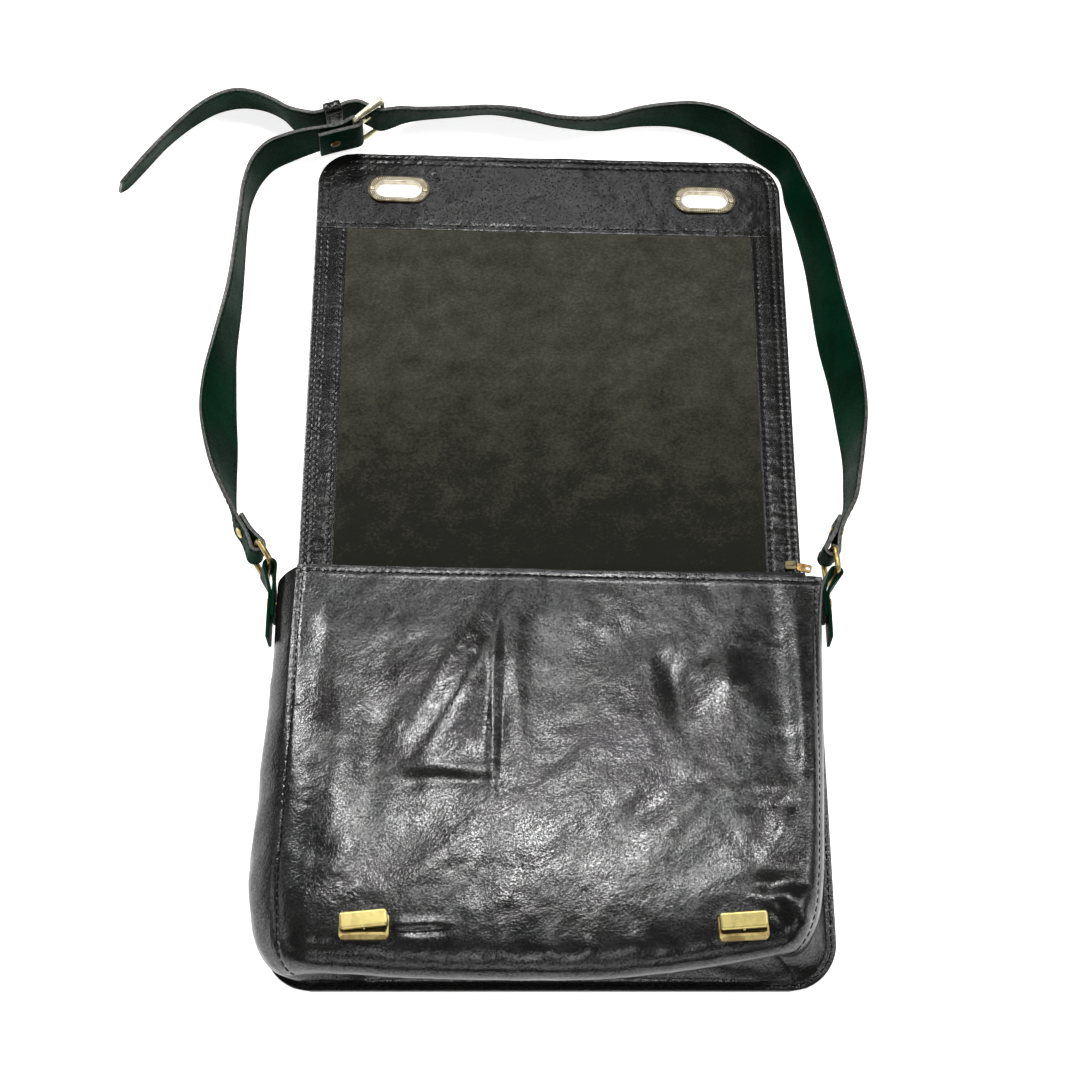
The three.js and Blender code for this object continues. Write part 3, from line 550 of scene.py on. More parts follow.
@dataclass(frozen=True)
class Suede:
    """Napped suede: mottled, matt and soft, with painted shade that darkens it towards the mouth."""

    name: str
    dark: Colour
    mid: Colour
    pale: Colour

    def material(self) -> bpy.types.Material:
        """Builds the finish."""
        look = Shader(self.name)
        axes = look.add("SeparateXYZ", {"Vector": look.place}).outputs
        # Painted shade: the colour darkens towards low Y, the flap's root by the mouth.
        shade = look.span(axes["Y"], -0.32, -0.045, 0.13, 0.33)
        cloud = look.on_top(shade, look.noise(60, 12, 0.4, 1.3, 10), 0.42)
        tone = look.on_top(cloud, look.noise(560, 5, 0.4, 1.2), 0.5)
        look.set(Base_Color=look.ramp(tone, (0.22, self.dark), (0.46, self.mid), (0.66, self.pale)))
        nap = look.bump(look.noise(1400, 3), 0.0004, 0.8, look.bump(look.noise(160, 5, 1), 0.0005, 0.6))
        look.set(Normal=nap, Roughness=look.span(look.noise(60, 4), 0.85, 1.0), Specular_IOR_Level=0.08)
        look.set(Sheen_Weight=0.25, Sheen_Roughness=0.5)
        return look.material


@dataclass(frozen=True)
class Metal:
    """Cast and polished metal with scratches, dull patches and darker tarnish."""

    name: str
    bright: Colour
    tarnish: Colour
    gloss: tuple[float, float] = (0.16, 0.34)
    scratch_depth: float = 0.00005

    def material(self) -> bpy.types.Material:
        """Builds the finish."""
        look = Shader(self.name)
        patches = look.noise(170, 4, 0.3)
        look.set(Base_Color=look.ramp(patches, (0.36, self.tarnish), (0.56, self.bright)), Metallic=1)
        look.set(Roughness=look.span(look.noise(420, 4), *self.gloss))
        look.set(Normal=look.bump(look.noise(700, 3, 0, 5, 90), self.scratch_depth, 0.6))
        return look.material


@dataclass(frozen=True)
class Cloth:
    """Woven tape or twisted thread: a fine regular weave."""

    name: str
    dark: Colour
    light: Colour
    weave: float = 1200
    specular: float = 0.3

    def material(self) -> bpy.types.Material:
        """Builds the finish."""
        look = Shader(self.name)
        ribs = look.cells(self.weave, "F1")
        look.set(Base_Color=look.ramp(look.noise(300, 4), (0.35, self.dark), (0.65, self.light)))
        look.set(Roughness=look.span(look.noise(500, 2), 0.45, 0.75), Specular_IOR_Level=self.specular)
        look.set(Normal=look.bump(ribs, 0.0003, 0.7))
        return look.material


class Finishes:
    """Every finish of the bag, each made once."""

    def __init__(self) -> None:
        """Builds the materials."""
        black: tuple[Colour, Colour] = ((0.004, 0.004, 0.004), (0.010, 0.0095, 0.009))
        self.leather = Leather("black_leather", *black).material()
        self.facing = Leather(
            "facing_leather", *black, gloss=(0.14, 0.27), specular=0.36, crease_depth=0.0004
        ).material()
        self.side_facing = Leather(
            "side_facing_leather", *black, gloss=(0.16, 0.28), specular=0.19, crease_depth=0.00012
        ).material()
        self.cut_edge = Leather(
            "cut_edge", (0.03, 0.028, 0.026), (0.10, 0.095, 0.088), gloss=(0.4, 0.6), cloud=300
        ).material()
        self.suede = Suede(
            "grey_suede", (0.010, 0.010, 0.0065), (0.041, 0.040, 0.0275), (0.085, 0.083, 0.062)
        ).material()
        # Painted shade tint: the strap is black leather, and its dark green stands in for the green cast of
        # its shade.
        self.strap = Leather(
            "strap_leather", (0.0003, 0.010, 0.0042), (0.0007, 0.022, 0.010), gloss=(0.4, 0.6), specular=0.02
        ).material()
        # The dark end is the edges' own black; the lighter grey is a painted highlight of light catching the
        # strap edges from above.
        self.strap_edge_highlight = Leather(
            "strap_edge_highlight", (0.008, 0.009, 0.008), (0.085, 0.083, 0.076), gloss=(0.35, 0.55), cloud=420
        ).material()
        self.brass = Metal("polished_brass", (0.70, 0.59, 0.23), (0.6, 0.49, 0.18), (0.34, 0.4)).material()
        self.dull_brass = Metal("dull_brass", (0.60, 0.48, 0.20), (0.34, 0.24, 0.09), (0.32, 0.5)).material()
        self.worn_brass = Metal("worn_brass", (0.42, 0.32, 0.13), (0.16, 0.12, 0.05), (0.3, 0.5)).material()
        self.pale_brass = Metal("pale_brass", (0.58, 0.53, 0.42), (0.36, 0.31, 0.22), (0.28, 0.45)).material()
        self.tan_brass = Metal("tan_brass", (0.26, 0.16, 0.06), (0.16, 0.09, 0.03)).material()
        self.light_brass = Metal("light_brass", (0.88, 0.84, 0.58), (0.6, 0.55, 0.34), (0.3, 0.46)).material()
        self.dark_brass = Metal("dark_brass", (0.12, 0.10, 0.055), (0.06, 0.05, 0.03), (0.3, 0.5)).material()
        self.thread = Cloth(
            "black_thread", (0.004, 0.004, 0.004), (0.012, 0.012, 0.011), weave=2600, specular=0.05
        ).material()
        self.tape = Cloth("zip_tape", (0.010, 0.010, 0.011), (0.024, 0.024, 0.025), weave=1400).material()


# Stitching and other repeats


def scatter(pattern: bpy.types.Object, name: str, poses: Sequence[Matrix]) -> bpy.types.Object:
    """Copies one modelled piece to many places, as a single mesh.

    Args:
        pattern: The piece, which is removed afterwards.
        name: Name of the new piece.
        poses: Turn and place of each copy.

    Returns:
        The copies.
    """
    points = np.column_stack([points_of(pattern), np.ones(len(pattern.data.vertices))])
    faces = [tuple(face.vertices) for face in pattern.data.polygons]
    bpy.data.objects.remove(pattern)
    rows, joined = [], []
    for k, pose in enumerate(poses):
        rows.append((points @ np.array(pose).T)[:, :3])
        joined += [tuple(v + k * len(points) for v in face) for face in faces]
    mesh = bpy.data.meshes.new(name)
    mesh.from_pydata(np.vstack(rows).tolist(), [], joined)
    obj = bpy.data.objects.new(name, mesh)
    bpy.context.scene.collection.objects.link(obj)
    return obj


@dataclass
class Stitching:
    """Runs of thread that become one joined piece.

    Attributes:
        name: Name of the piece.
        pitch: Step from stitch to stitch in mm.
        length: Length of a stitch in mm.
        width: Width of the thread in mm.
        frames: Turn and place of each stitch.
    """

    name: str
    pitch: float = 5.5
    length: float = 3.9
    width: float = 0.9
    frames: list[Matrix] = field(default_factory=list)

    def run(self, line: np.ndarray, normals: np.ndarray) -> None:
        """Lays stitches along a line.

        Args:
            line: Points of the line on the leather, in metres.
            normals: Direction out of the leather at each point.
        """
        reach = reach_of(line)
        count = int(reach[-1] // (self.pitch * MM))
        half = self.length * MM / 2
        for at in (np.arange(count) + 0.5) * reach[-1] / count:
            low, here, high = (self._at(line, reach, spot) for spot in (at - half, at, at + half))
            up = Vector(self._at(normals, reach, at)).normalized()
            along = Vector(high - low).normalized()
            side = up.cross(along).normalized()
            turn = Matrix((along, side, along.cross(side))).transposed().to_4x4()
            self.frames.append(Matrix.Translation(Vector(here)) @ turn)

    @staticmethod
    def _at(rows: np.ndarray, reach: np.ndarray, at: float) -> np.ndarray:
        """A row of numbers at a distance along the line."""
        return np.array([np.interp(at, reach, rows[:, axis]) for axis in range(3)])

    def piece(self, finishes: Finishes, slot: str, body: str = BAG) -> bpy.types.Object:
        """Joins the stitches: one modelled stitch, copied to every frame.

        Args:
            finishes: The bag's finishes.
            slot: Material slot of the leather that is sewn.
            body: Body that the stitches move with.

        Returns:
            The joined thread.
        """
        bpy.ops.object.select_all(action="DESELECT")
        bpy.ops.mesh.primitive_uv_sphere_add(segments=8, ring_count=6, radius=0.5)
        pattern = bpy.context.active_object
        pattern.data.transform(Matrix.Rotation(math.pi / 2, 4, "Y"))
        points = points_of(pattern)
        points[:, 0] = np.sign(points[:, 0]) * np.abs(2 * points[:, 0]) ** 0.6 / 2
        move_points(pattern, points * (self.length * MM, self.width * MM, self.width * MM * 0.8))
        obj = scatter(pattern, self.name, self.frames)
        dress(obj, finishes.thread)
        return hand_over(obj, slot, body=body)


# Body of the bag


class FrontSection(NamedTuple):
    """One row across the front panel: its height at the crown and at its two sewn edges, in mm."""

    y: float
    crown: float
    left: float
    left_z: float
    right: float
    right_z: float


class Fold(NamedTuple):
    """A ridge, or a dent if its lift is negative, in mm and degrees. Its far side may be wider."""

    x: float
    y: float
    lift: float
    long: float
    wide: float
    turn: float
    far: float = 0


FRONT_SECTIONS = [
    FrontSection(-135, 27, -152, 22, 140, 23),
    FrontSection(-140, 38, -162, 27, 151, 25),
    FrontSection(-140, 49, -169, 35, 160, 26),
    FrontSection(-132, 56, -174, 44, 167, 28),
    FrontSection(-115, 58.5, -176, 50, 172, 30),
    FrontSection(-80, 58, -177, 52, 175, 32),
    FrontSection(-28, 54, -176, 48, 178, 32),
    FrontSection(28, 48, -175, 44, 181, 31),
    FrontSection(103, 40, -174, 38, 184, 30),
    FrontSection(141, 36, -173, 36, 186, 35),
]

FRONT_FOLDS = [
    # Beside the raised corner of what the bag holds
    Fold(-36.8, 39, 1.5, 52, 3.6, 89.4),
    Fold(-32, 39, -0.5, 46, 2.4, 89.4),
    Fold(-21.5, 44, 0.7, 42, 6, 90),
    Fold(-56, -7, 0.8, 20, 4.5, -2),
    Fold(-64, -14, -0.6, 30, 4.8, -3),
    Fold(-90, -17, -1.4, 13, 8, 8),
    Fold(-54, 56, 5.6, 68, 15, 62, 20),
    # Left edge
    Fold(-162, 95, -1.0, 26, 9, 86),
    Fold(-146, 92, 0.6, 14, 8, 88),
    Fold(-139, -2, 1.8, 64, 14, 88),
    Fold(-112, 6, -0.9, 50, 11, 84),
    Fold(-130, -62, 0.8, 26, 10, 60),
    # Dent and bumps
    Fold(83, 52, -2.2, 22, 9, 100),
    Fold(80, 82, 0.7, 9, 8, 10),
    Fold(118, 58, 2.5, 19, 15, 100),
    Fold(102, 74, -0.8, 10, 7, 30),
    # Right edge
    Fold(152, 48, -1.3, 66, 14, 92),
    Fold(168, 30, 1.2, 90, 7, 93),
    Fold(138, -20, 0.6, 28, 6, 9),
    Fold(142, -31, -0.5, 24, 6, 4),
    Fold(150, -46, 0.9, 15, 6, 66),
    Fold(136, -50, -0.7, 16, 7, 58),
    Fold(160, -54, -0.6, 14, 7, 84),
    # Collapsed lower right corner
    Fold(146, -84, -2.2, 20, 7, 4),
    Fold(142, -94, 1.2, 15, 6, 4),
    Fold(155, -104, 3.0, 24, 8, -68),
    Fold(144, -106, -1.2, 18, 6, -72),
    Fold(168, -112, -1.8, 12, 6, -60),
    # Soft diagonal folds
    Fold(-72, -68, 0.7, 30, 9, 37),
    Fold(-48, -86, -0.6, 26, 9, 40),
    Fold(80, -42, 0.8, 32, 8, 38),
    Fold(58, -36, -0.6, 30, 9, 40),
    Fold(8, -44, 0.7, 26, 9, 46),
    Fold(96, -70, -0.7, 28, 8, 30),
    Fold(-8, -10, -0.7, 30, 11, 40),
    Fold(30, 10, 0.8, 34, 12, 44),
    Fold(40, 84, -0.4, 40, 13, 8),
    Fold(0, 104, 0.3, 40, 11, 6),
    Fold(-100, 96, 0.5, 28, 10, 12),
    Fold(42, -53, -0.4, 13, 1.6, -47),
    # Slit beside the left lock and creases over the bottom
    Fold(-80, -115, -1.0, 15, 2.6, 2),
    Fold(-82, -110, 0.7, 18, 3, 3),
    Fold(-138, -123, -0.8, 40, 4, 0),
    Fold(-30, -126, 0.8, 10, 6, 84),
    Fold(0, -127, 1.0, 10, 6, 92),
    Fold(24, -126, 0.9, 10, 5, 80),
    Fold(52, -125, 1.0, 12, 7, 70),
    Fold(84, -124, -0.9, 12, 7, 96),
]


def lift_of(folds: Sequence[Fold], x: np.ndarray, y: np.ndarray) -> np.ndarray:
    """Height of folds at points in mm."""
    lift = np.zeros_like(x)
    for fold in folds:
        c, s = math.cos(math.radians(fold.turn)), math.sin(math.radians(fold.turn))
        along = (x - fold.x) * c + (y - fold.y) * s
        across = (y - fold.y) * c - (x - fold.x) * s
        wide = np.where(across < 0, fold.far or fold.wide, fold.wide)
        lift += fold.lift * np.exp(-((along / fold.long) ** 2) - (across / wide) ** 2)
    return lift


@dataclass(frozen=True)
class Imprint:
    """Three-cornered facet that something in the bag pushes up, in mm."""

    corners: tuple[tuple[float, float], ...] = ((-36, 112), (-93, -8), (-37, -9))
    slopes: tuple[float, ...] = (30.0, 18.0, 24.0)
    lift: float = 0.4

    def lift_at(self, x: np.ndarray, y: np.ndarray) -> np.ndarray:
        """Height of the facet: full inside, with its own slope over each side."""
        height = np.full_like(x, self.lift)
        for k, slope in enumerate(self.slopes):
            (x0, y0), (x1, y1) = self.corners[k], self.corners[(k + 1) % 3]
            length = math.hypot(x1 - x0, y1 - y0)
            inside = ((x1 - x0) * (y - y0) - (y1 - y0) * (x - x0)) / length
            height *= smoothstep(inside, -slope / 2, slope / 2)
        return height * (1 - smoothstep(y, 70, 112))


class Crumple(NamedTuple):
    """One layer of crumpling: its height in mm, the size of its bumps in metres, and its finer layers."""

    lift: float
    size: float
    octaves: int = 3


FRONT_CRUMPLE = (Crumple(0.8, 0.045, 2), Crumple(0.26, 0.014))
FACING_CRUMPLE = (Crumple(0.6, 0.04, 2), Crumple(0.28, 0.012))

# Draws the broad crumpling of the front out along a diagonal
DIAGONAL = np.array(((0.34, 0.3, 0), (-0.66, 0.75, 0), (0, 0, 1)))


def layers(crumples: Sequence[Crumple], *places: np.ndarray) -> np.ndarray:
    """Heights of layers of crumpling in mm, each at its own points in metres."""
    heights = [layer.lift * crumple(at, layer.size, layer.octaves) for layer, at in zip(crumples, places)]
    return sum(heights)


def puffs(along: np.ndarray, aside: np.ndarray, pitch: float, deep: float, wide: float) -> np.ndarray:
    """Sunken line of stitches: dimples under the stitches and leather swelling up between them.

    Args:
        along: Distance along the line.
        aside: Distance from the line.
        pitch: Step from stitch to stitch.
        deep: Depth of the dimples.
        wide: Half width of the sunken line.

    Returns:
        Heights in the unit of deep, all zero or less.
    """
    dimple = 0.65 + 0.35 * np.cos(2 * np.pi * along / pitch)
    return -deep * dimple * np.exp(-((aside / wide) ** 2))


@dataclass
class FrontPanel:
    """Front of the bag: soft, dented, and rolled under at the bottom. Sizes in mm."""

    wall: float = 2.0
    left_shoulder: float = 24.0
    right_shoulder: float = 17.0
    mouth_skew: float = 0.025
    mouth_hem: float = 0.03
    crowding: float = 0.6
    seam_from_edge: float = 4.5
    stitch: float = 5.5
    flat_at_lock: tuple[float, float] = (14.0, 24.0)
    bows: tuple[float, float] = (5.0, 19.0)
    bow_half: float = 156.0
    bow_rows: tuple[float, float] = (-140.0, -50.0)
    skew_rows: tuple[float, float] = (-140.0, 140.0)
    folds_from: tuple[float, float] = (0.3, 0.4)
    edge_band: float = 9.0
    hem_step: float = 0.2

    def rows(self, v: np.ndarray) -> np.ndarray:
        """Sections at shares from the bottom to the mouth, one a row."""
        table = np.array(FRONT_SECTIONS, dtype=float)
        return hermite(np.linspace(0, 1, len(table)), table, v)

    def surface(self, u: np.ndarray, v: np.ndarray) -> np.ndarray:
        """Middle of the wall in metres: u from the left seam to the right, v from the bottom up."""
        y0, crown, left, left_z, right, right_z = self.rows(v).T
        share = u + self.crowding * (0.5 - 0.5 * np.cos(np.pi * u) - u)
        x = left + (right - left) * share
        from_left, from_right = x - left, right - x
        rise = (crown - left_z) * (1 - (1 - np.clip(from_left / self.left_shoulder, 0, 1)) ** 2)
        round_off = np.sqrt(1 - (1 - np.clip(from_right / self.right_shoulder, 0, 1)) ** 2)
        drop = (crown - right_z) * (1 - round_off)
        bow = np.where(x < 0, *self.bows) * (x / self.bow_half) ** 2 * (1 - smoothstep(y0, *self.bow_rows))
        y = y0 + bow - self.mouth_skew * x * smoothstep(y0, *self.skew_rows)
        return np.column_stack([x, y, left_z + rise - drop]) * MM

    def detail(self, u: np.ndarray, v: np.ndarray) -> np.ndarray:
        """Wall's middle with small folds, crumpling and the sunken lines of stitches."""
        points = self.surface(u, v)
        x, y, _ = points.T / MM
        y0, _, left, _, right, _ = self.rows(v).T
        edge = np.minimum(x - left, right - x)
        lift = (lift_of(FRONT_FOLDS, x, y) + Imprint().lift_at(x, y)) * smoothstep(v, *self.folds_from)
        lift += layers(FRONT_CRUMPLE, points @ DIAGONAL.T, points)
        lift *= smoothstep(edge, 0, self.edge_band)
        for lock in LOCK_PLACES.values():
            from_lock = np.hypot(x - lock.foot.x / MM, y - lock.foot.y / MM)
            lift *= smoothstep(from_lock, *self.flat_at_lock)
        from_mouth = FRONT_SECTIONS[-1].y - y0
        lift += self.hem_step * smoothstep(-from_mouth, -9, -7)
        lift += puffs(x, from_mouth - self.seam_from_edge, self.stitch, 0.5, 1.3)
        for away in (x - left, right - x):
            sunk = puffs(y, away - self.seam_from_edge, self.stitch, 0.6, 1.2)
            lift += sunk * smoothstep(v, 0.2, 0.3)
        return points + normals_of(self.surface, u, v) * (lift * MM)[:, None]

    def crowded(self, u: np.ndarray, v: np.ndarray) -> np.ndarray:
        """Detailed surface with more rows near the mouth and more columns near the seams."""
        fine_u = np.interp(u, (0, 0.06, 0.3, 0.52, 0.94, 1), (0, 0.05, 0.36, 0.45, 0.95, 1))
        return self.detail(fine_u, np.interp(v, (0, 0.5, 0.6, 0.9, 1), (0, 0.65, 0.7, 0.95, 1)))

    def seams(self) -> list[tuple[np.ndarray, np.ndarray]]:
        """Shares u and v along the stitch lines: mouth, left edge and right edge."""
        v = np.linspace(0.9, 1, 200)
        at_mouth = np.interp(-self.seam_from_edge, self.rows(v)[:, 0] - FRONT_SECTIONS[-1].y, v)
        u = np.linspace(0.006, 0.994, 300)
        lines = [(u, np.full_like(u, at_mouth))]
        v = np.linspace(0.16, at_mouth - 0.01, 300)
        for right in (False, True):
            shares = np.linspace(0, 0.2, 400)
            shares = 1 - shares if right else shares
            places = []
            for row in self.rows(v):
                share = shares + self.crowding * (0.5 - 0.5 * np.cos(np.pi * shares) - shares)
                away = (1 - share if right else share) * (row[4] - row[2])
                places.append(np.interp(self.seam_from_edge, away, shares))
            lines.append((np.array(places), v))
        return lines

    def build(self, finishes: Finishes) -> None:
        """Makes the panel and its stitching."""
        looks = finishes.leather, finishes.cut_edge
        tie = "leather", "front_panel"
        soft_piece("front_leather", self.crowded, (230, 210), looks, (self.wall, 0.5), tie)
        thread = Stitching("front_stitches")
        for u, v in self.seams():
            out = normals_of(self.surface, u, v)
            thread.run(self.detail(u, v) + out * (self.wall / 2 + 0.15) * MM, out)
        thread.piece(finishes, "leather")


class Bulge(NamedTuple):
    """How far the gusset stands out of its straight line, at a share of its length, in mm."""

    at: float
    out: float


GUSSET_BULGES = [
    Bulge(0, 11), Bulge(0.06, 11), Bulge(0.16, 14), Bulge(0.25, 16), Bulge(0.29, 11), Bulge(0.33, 0),
    Bulge(0.38, -9), Bulge(0.5, -13), Bulge(0.62, -9), Bulge(0.68, -3), Bulge(0.73, -4), Bulge(0.86, -8),
    Bulge(0.95, 3), Bulge(1, 5),
]


def table_surface(table: np.ndarray) -> Surface:
    """Surface through a table of points, its first axis along u and its second along v."""
    rows, columns = table.shape[0] - 1, table.shape[1] - 1

    def surface(u: np.ndarray, v: np.ndarray) -> np.ndarray:
        """Point between the four nearest points of the table."""
        i = np.minimum((u * rows).astype(int), rows - 1)
        j = np.minimum((v * columns).astype(int), columns - 1)
        a, b = (u * rows - i)[:, None], (v * columns - j)[:, None]
        near = table[i, j] * (1 - b) + table[i, j + 1] * b
        far = table[i + 1, j] * (1 - b) + table[i + 1, j + 1] * b
        return near * (1 - a) + far * a

    return surface


@dataclass
class Gusset:
    """Strip round the two sides and the bottom, lapped under the front and flanged on the back. In mm."""

    front: FrontPanel
    wall: float = 1.6
    lap_gap: float = 1.1
    flange: float = 6.5
    flange_z: float = 3.1
    half_width: float = 186.0
    bottom: float = -140.0
    corner: float = 32.0
    top: float = 131.0
    lap_u: float = 1 / 26
    lap_v: float = 2 / 22
    wave: float = 1.3

    def under_front(self, u: np.ndarray, v: np.ndarray) -> np.ndarray:
        """Middle of the gusset's wall under the front panel."""
        below = (self.front.wall / 2 + self.lap_gap + self.wall / 2) * MM
        return self.front.surface(u, v) - normals_of(self.front.surface, u, v) * below

    def flange_line(self, share: np.ndarray, inset: float) -> tuple[np.ndarray, np.ndarray]:
        """Line on the back panel at an inset from its edge.

        Args:
            share: Shares of the line's length, from the left of the mouth round to its right.
            inset: Distance in from the back panel's edge in mm.

        Returns:
            Points in mm and unit directions out of the bag, both in the plane.
        """
        half, low, radius = self.half_width - inset, self.bottom + inset, self.corner - inset
        turn = np.linspace(0, math.pi / 2, 40)
        left = np.column_stack([radius - half - radius * np.cos(turn), low + radius - radius * np.sin(turn)])
        right = (left * (-1, 1))[::-1]
        line = np.vstack([[(-half, self.top)], left, right, [(half, self.top)]])
        reach = reach_of(line)
        at = share * reach[-1]
        points = np.column_stack([np.interp(at, reach, line[:, axis]) for axis in (0, 1)])
        ahead, behind = np.minimum(at + 0.5, reach[-1]), np.maximum(at - 0.5, 0)
        tangent = np.column_stack(
            [np.interp(ahead, reach, line[:, k]) - np.interp(behind, reach, line[:, k]) for k in (0, 1)]
        )
        out = np.column_stack([tangent[:, 1], -tangent[:, 0]])
        return points, out / np.linalg.norm(out, axis=1)[:, None]

    def sections(self) -> np.ndarray:
        """Table of points from the lap under the front to the flange's edge, round the whole strip."""
        sides, floor = 130, 150
        one = np.linspace(1, 0, sides, endpoint=False)
        u = np.concatenate([np.zeros(sides), np.linspace(0, 1, floor, endpoint=False), np.ones(sides + 1)])
        v = np.concatenate([one, np.zeros(floor), np.append(one[::-1] - one[-1], 1)])
        seam = self.under_front(u, v)
        reach = reach_of(seam)
        share = reach / reach[-1]
        flat, out = self.flange_line(share, self.flange)
        foot = np.column_stack([flat, np.full(len(flat), self.flange_z)]) * MM
        outward = np.column_stack([out, np.zeros(len(out))])
        table = np.array(GUSSET_BULGES)
        bulge = hermite(table[:, 0], table[:, 1:], share)[:, 0]
        lap = self.under_front(np.clip(u, self.lap_u, 1 - self.lap_u), np.maximum(v, self.lap_v))
        columns = [lap, 0.5 * (lap + seam), seam]
        for t in np.linspace(0, 1, 17)[1:]:
            point = seam + (foot - seam) * t + outward * (4 * t * (1 - t) * bulge * MM)[:, None]
            wave = crumple(point * (1, 1, 1.6), 0.03) * self.wave * MM * 4 * t * (1 - t)
            columns.append(point + outward * wave[:, None])
        for t in (0.25, 0.5, 0.75, 1):
            columns.append(foot + outward * self.flange * t * MM)
        return np.stack(columns, axis=1)

    def build(self, finishes: Finishes) -> None:
        """Makes the strip and the stitching of its flange."""
        table = self.sections()
        steps = table.shape[0] - 1, table.shape[1] - 1
        looks = finishes.leather, finishes.cut_edge
        tie = "leather", "gusset"
        soft_piece("gusset_leather", table_surface(table), steps, looks, (self.wall, 0.4), tie)
        flat, _ = self.flange_line(np.linspace(0.01, 0.99, 400), self.flange - 3.4)
        line = np.column_stack([flat, np.full(len(flat), self.flange_z + self.wall / 2 + 0.15)]) * MM
        thread = Stitching("flange_stitches")
        thread.run(line, np.tile((0.0, 0.0, 1.0), (len(line), 1)))
        thread.piece(finishes, "leather")


# Flap

LINING_CREASE = Fold(75, 312, 1.4, 80, 5, 38)


@dataclass
class Flap:
    """Back panel and open flap in one piece, with the facings and the lining on the flap. In mm."""

    wall: float = 2.0
    facing_wall: float = 1.6
    lining_wall: float = 1.2
    facing_z: float = 2.3
    back_half: float = 186.0
    bottom: float = -140.0
    back_corner: float = 32.0
    shoulder: float = 131.0
    fold: float = 140.0
    half: float = 177.0
    end: float = 503.0
    skew: float = 0.028
    skew_full: float = 430.0
    corner: float = 28.0
    inset: float = 1.0
    end_band: float = 68.0
    side_band: float = 23.0
    side_root: float = 146.0
    lining_root: float = 96.0
    facing_gap: float = 0.3
    stitch: float = 5.2
    outer_rows: tuple[float, float] = (3.0, 8.0)
    inner_row: float = 3.5
    end_row: float = 4.0
    sunken_half: float = 1.3
    ladder: tuple[float, float, float] = (0.8, 13.0, 6.0)
    ladder_rows: tuple[float, float] = (190.0, 280.0)
    slot_cut: tuple[float, float, float] = (37.5, 17.6, 20.0)

    def end_width(self, to_end: np.ndarray, half: float, corner: float) -> np.ndarray:
        """Half width of the flap at a distance short of its end, round at the corner."""
        into = np.clip(corner - to_end, 0, corner)
        return half - corner + np.sqrt(corner**2 - into**2)

    def outline(self, u: np.ndarray, v: np.ndarray) -> np.ndarray:
        """Middle of the back panel's and flap's leather."""
        places = (self.bottom, self.bottom + self.back_corner, 128, 142, self.end - self.corner, self.end)
        y0 = np.interp(v, (0, 0.1, 0.42, 0.46, 0.92, 1), places)
        low = self.back_corner - np.clip(y0 - self.bottom, 0, self.back_corner)
        back = self.back_half - self.back_corner + np.sqrt(self.back_corner**2 - low**2)
        to_flap = np.clip((y0 - self.shoulder) / (self.fold - self.shoulder), 0, 1)
        width = back + (self.end_width(self.end - y0, self.half, self.corner) - back) * to_flap
        x = (2 * u - 1) * width
        y = y0 - self.skew * x * smoothstep(y0, self.fold, self.skew_full)
        return np.column_stack([x, y, np.full_like(x, self.wall / 2)]) * MM

    def head(self, x: np.ndarray) -> np.ndarray:
        """Where the side bands and the lining end, short of the band across the flap's end."""
        return self.end - self.skew * x - self.end_band - self.facing_gap

    def sunken(self, along: np.ndarray, aside: np.ndarray, deep: float) -> np.ndarray:
        """Sunken line of the flap's stitches."""
        return puffs(along, aside, self.stitch, deep, self.sunken_half)

    def end_facing(self, u: np.ndarray, v: np.ndarray) -> np.ndarray:
        """Band across the flap's end, swollen between the stitches."""
        corner = self.corner - self.inset
        to_end = np.interp(v, (0, 0.5, 1), (self.end_band, corner, self.inset)) - self.inset
        half = self.half - self.inset
        width = self.end_width(to_end, half, corner)
        x = (2 * u - 1) * width
        y = self.end - self.inset - to_end - self.skew * x
        aside = np.minimum(width - np.abs(x), to_end)
        near_side = (width - np.abs(x)) < to_end
        along = np.where(near_side, y, x)
        lift = sum(self.sunken(along, aside - row, 0.35) for row in self.outer_rows)
        lift += self.sunken(x, self.end_band - self.inset - to_end - self.end_row, 0.35)
        points = np.column_stack([x, y, np.full_like(x, self.facing_z + self.facing_wall / 2)])
        lift += layers(FACING_CRUMPLE, points * MM, points * MM)
        points[:, 2] += np.clip(lift, -0.9, 0.9) + 0.3
        return points * MM

    def side_facing(self, side: Side) -> Surface:
        """Band along one side of the flap, puckered by its stitching towards the root."""
        outer = self.half - self.inset

        def surface(u: np.ndarray, v: np.ndarray) -> np.ndarray:
            """Middle of the band's wall."""
            inward = u * self.side_band
            x = side.sign * (outer - inward)
            y = self.side_root + (self.head(x) - self.side_root) * v
            lift = sum(self.sunken(y, inward - row, 0.5) for row in self.outer_rows)
            lift += self.sunken(y, inward - (self.side_band - self.inner_row), 0.5)
            points = np.column_stack([x, y, np.full_like(x, self.facing_z + self.facing_wall / 2)])
            height, middle, half = self.ladder
            strong = 0.35 + 0.65 * (1 - smoothstep(y, *self.ladder_rows))
            ladder = crumple(points * (0.25, 1, 1) * MM, 0.007, 2)
            lift += height * strong * ladder * np.exp(-(((inward - middle) / half) ** 2))
            points[:, 2] += np.maximum(lift, -0.9) + 0.5
            return points * MM

        return surface

    def lining(self, u: np.ndarray, v: np.ndarray) -> np.ndarray:
        """Suede between the bands, with soft waves and one long crease."""
        x = (2 * u - 1) * (self.half - self.inset - self.side_band - self.facing_gap)
        y = self.lining_root + (self.head(x) - self.lining_root) * v
        points = np.column_stack([x, y, np.full_like(x, self.facing_z + self.lining_wall / 2)])
        lift = 0.5 * crumple(points * MM, 0.08) + lift_of([LINING_CREASE], x, y)
        points[:, 2] += 0.5 + np.maximum(lift, -0.5)
        return points * MM

    def slot_cutters(self) -> list[bpy.types.Object]:
        """Blocks that cut the two slots through the flap's end."""
        blocks = []
        for x, y in SLOTS.values():
            block = rounded_block("slot_cutter", self.slot_cut, self.slot_cut[1] / 2, 0, 12)
            shift(block, x, y, -5, SLOT_TURN)
            blocks.append(block)
        return blocks

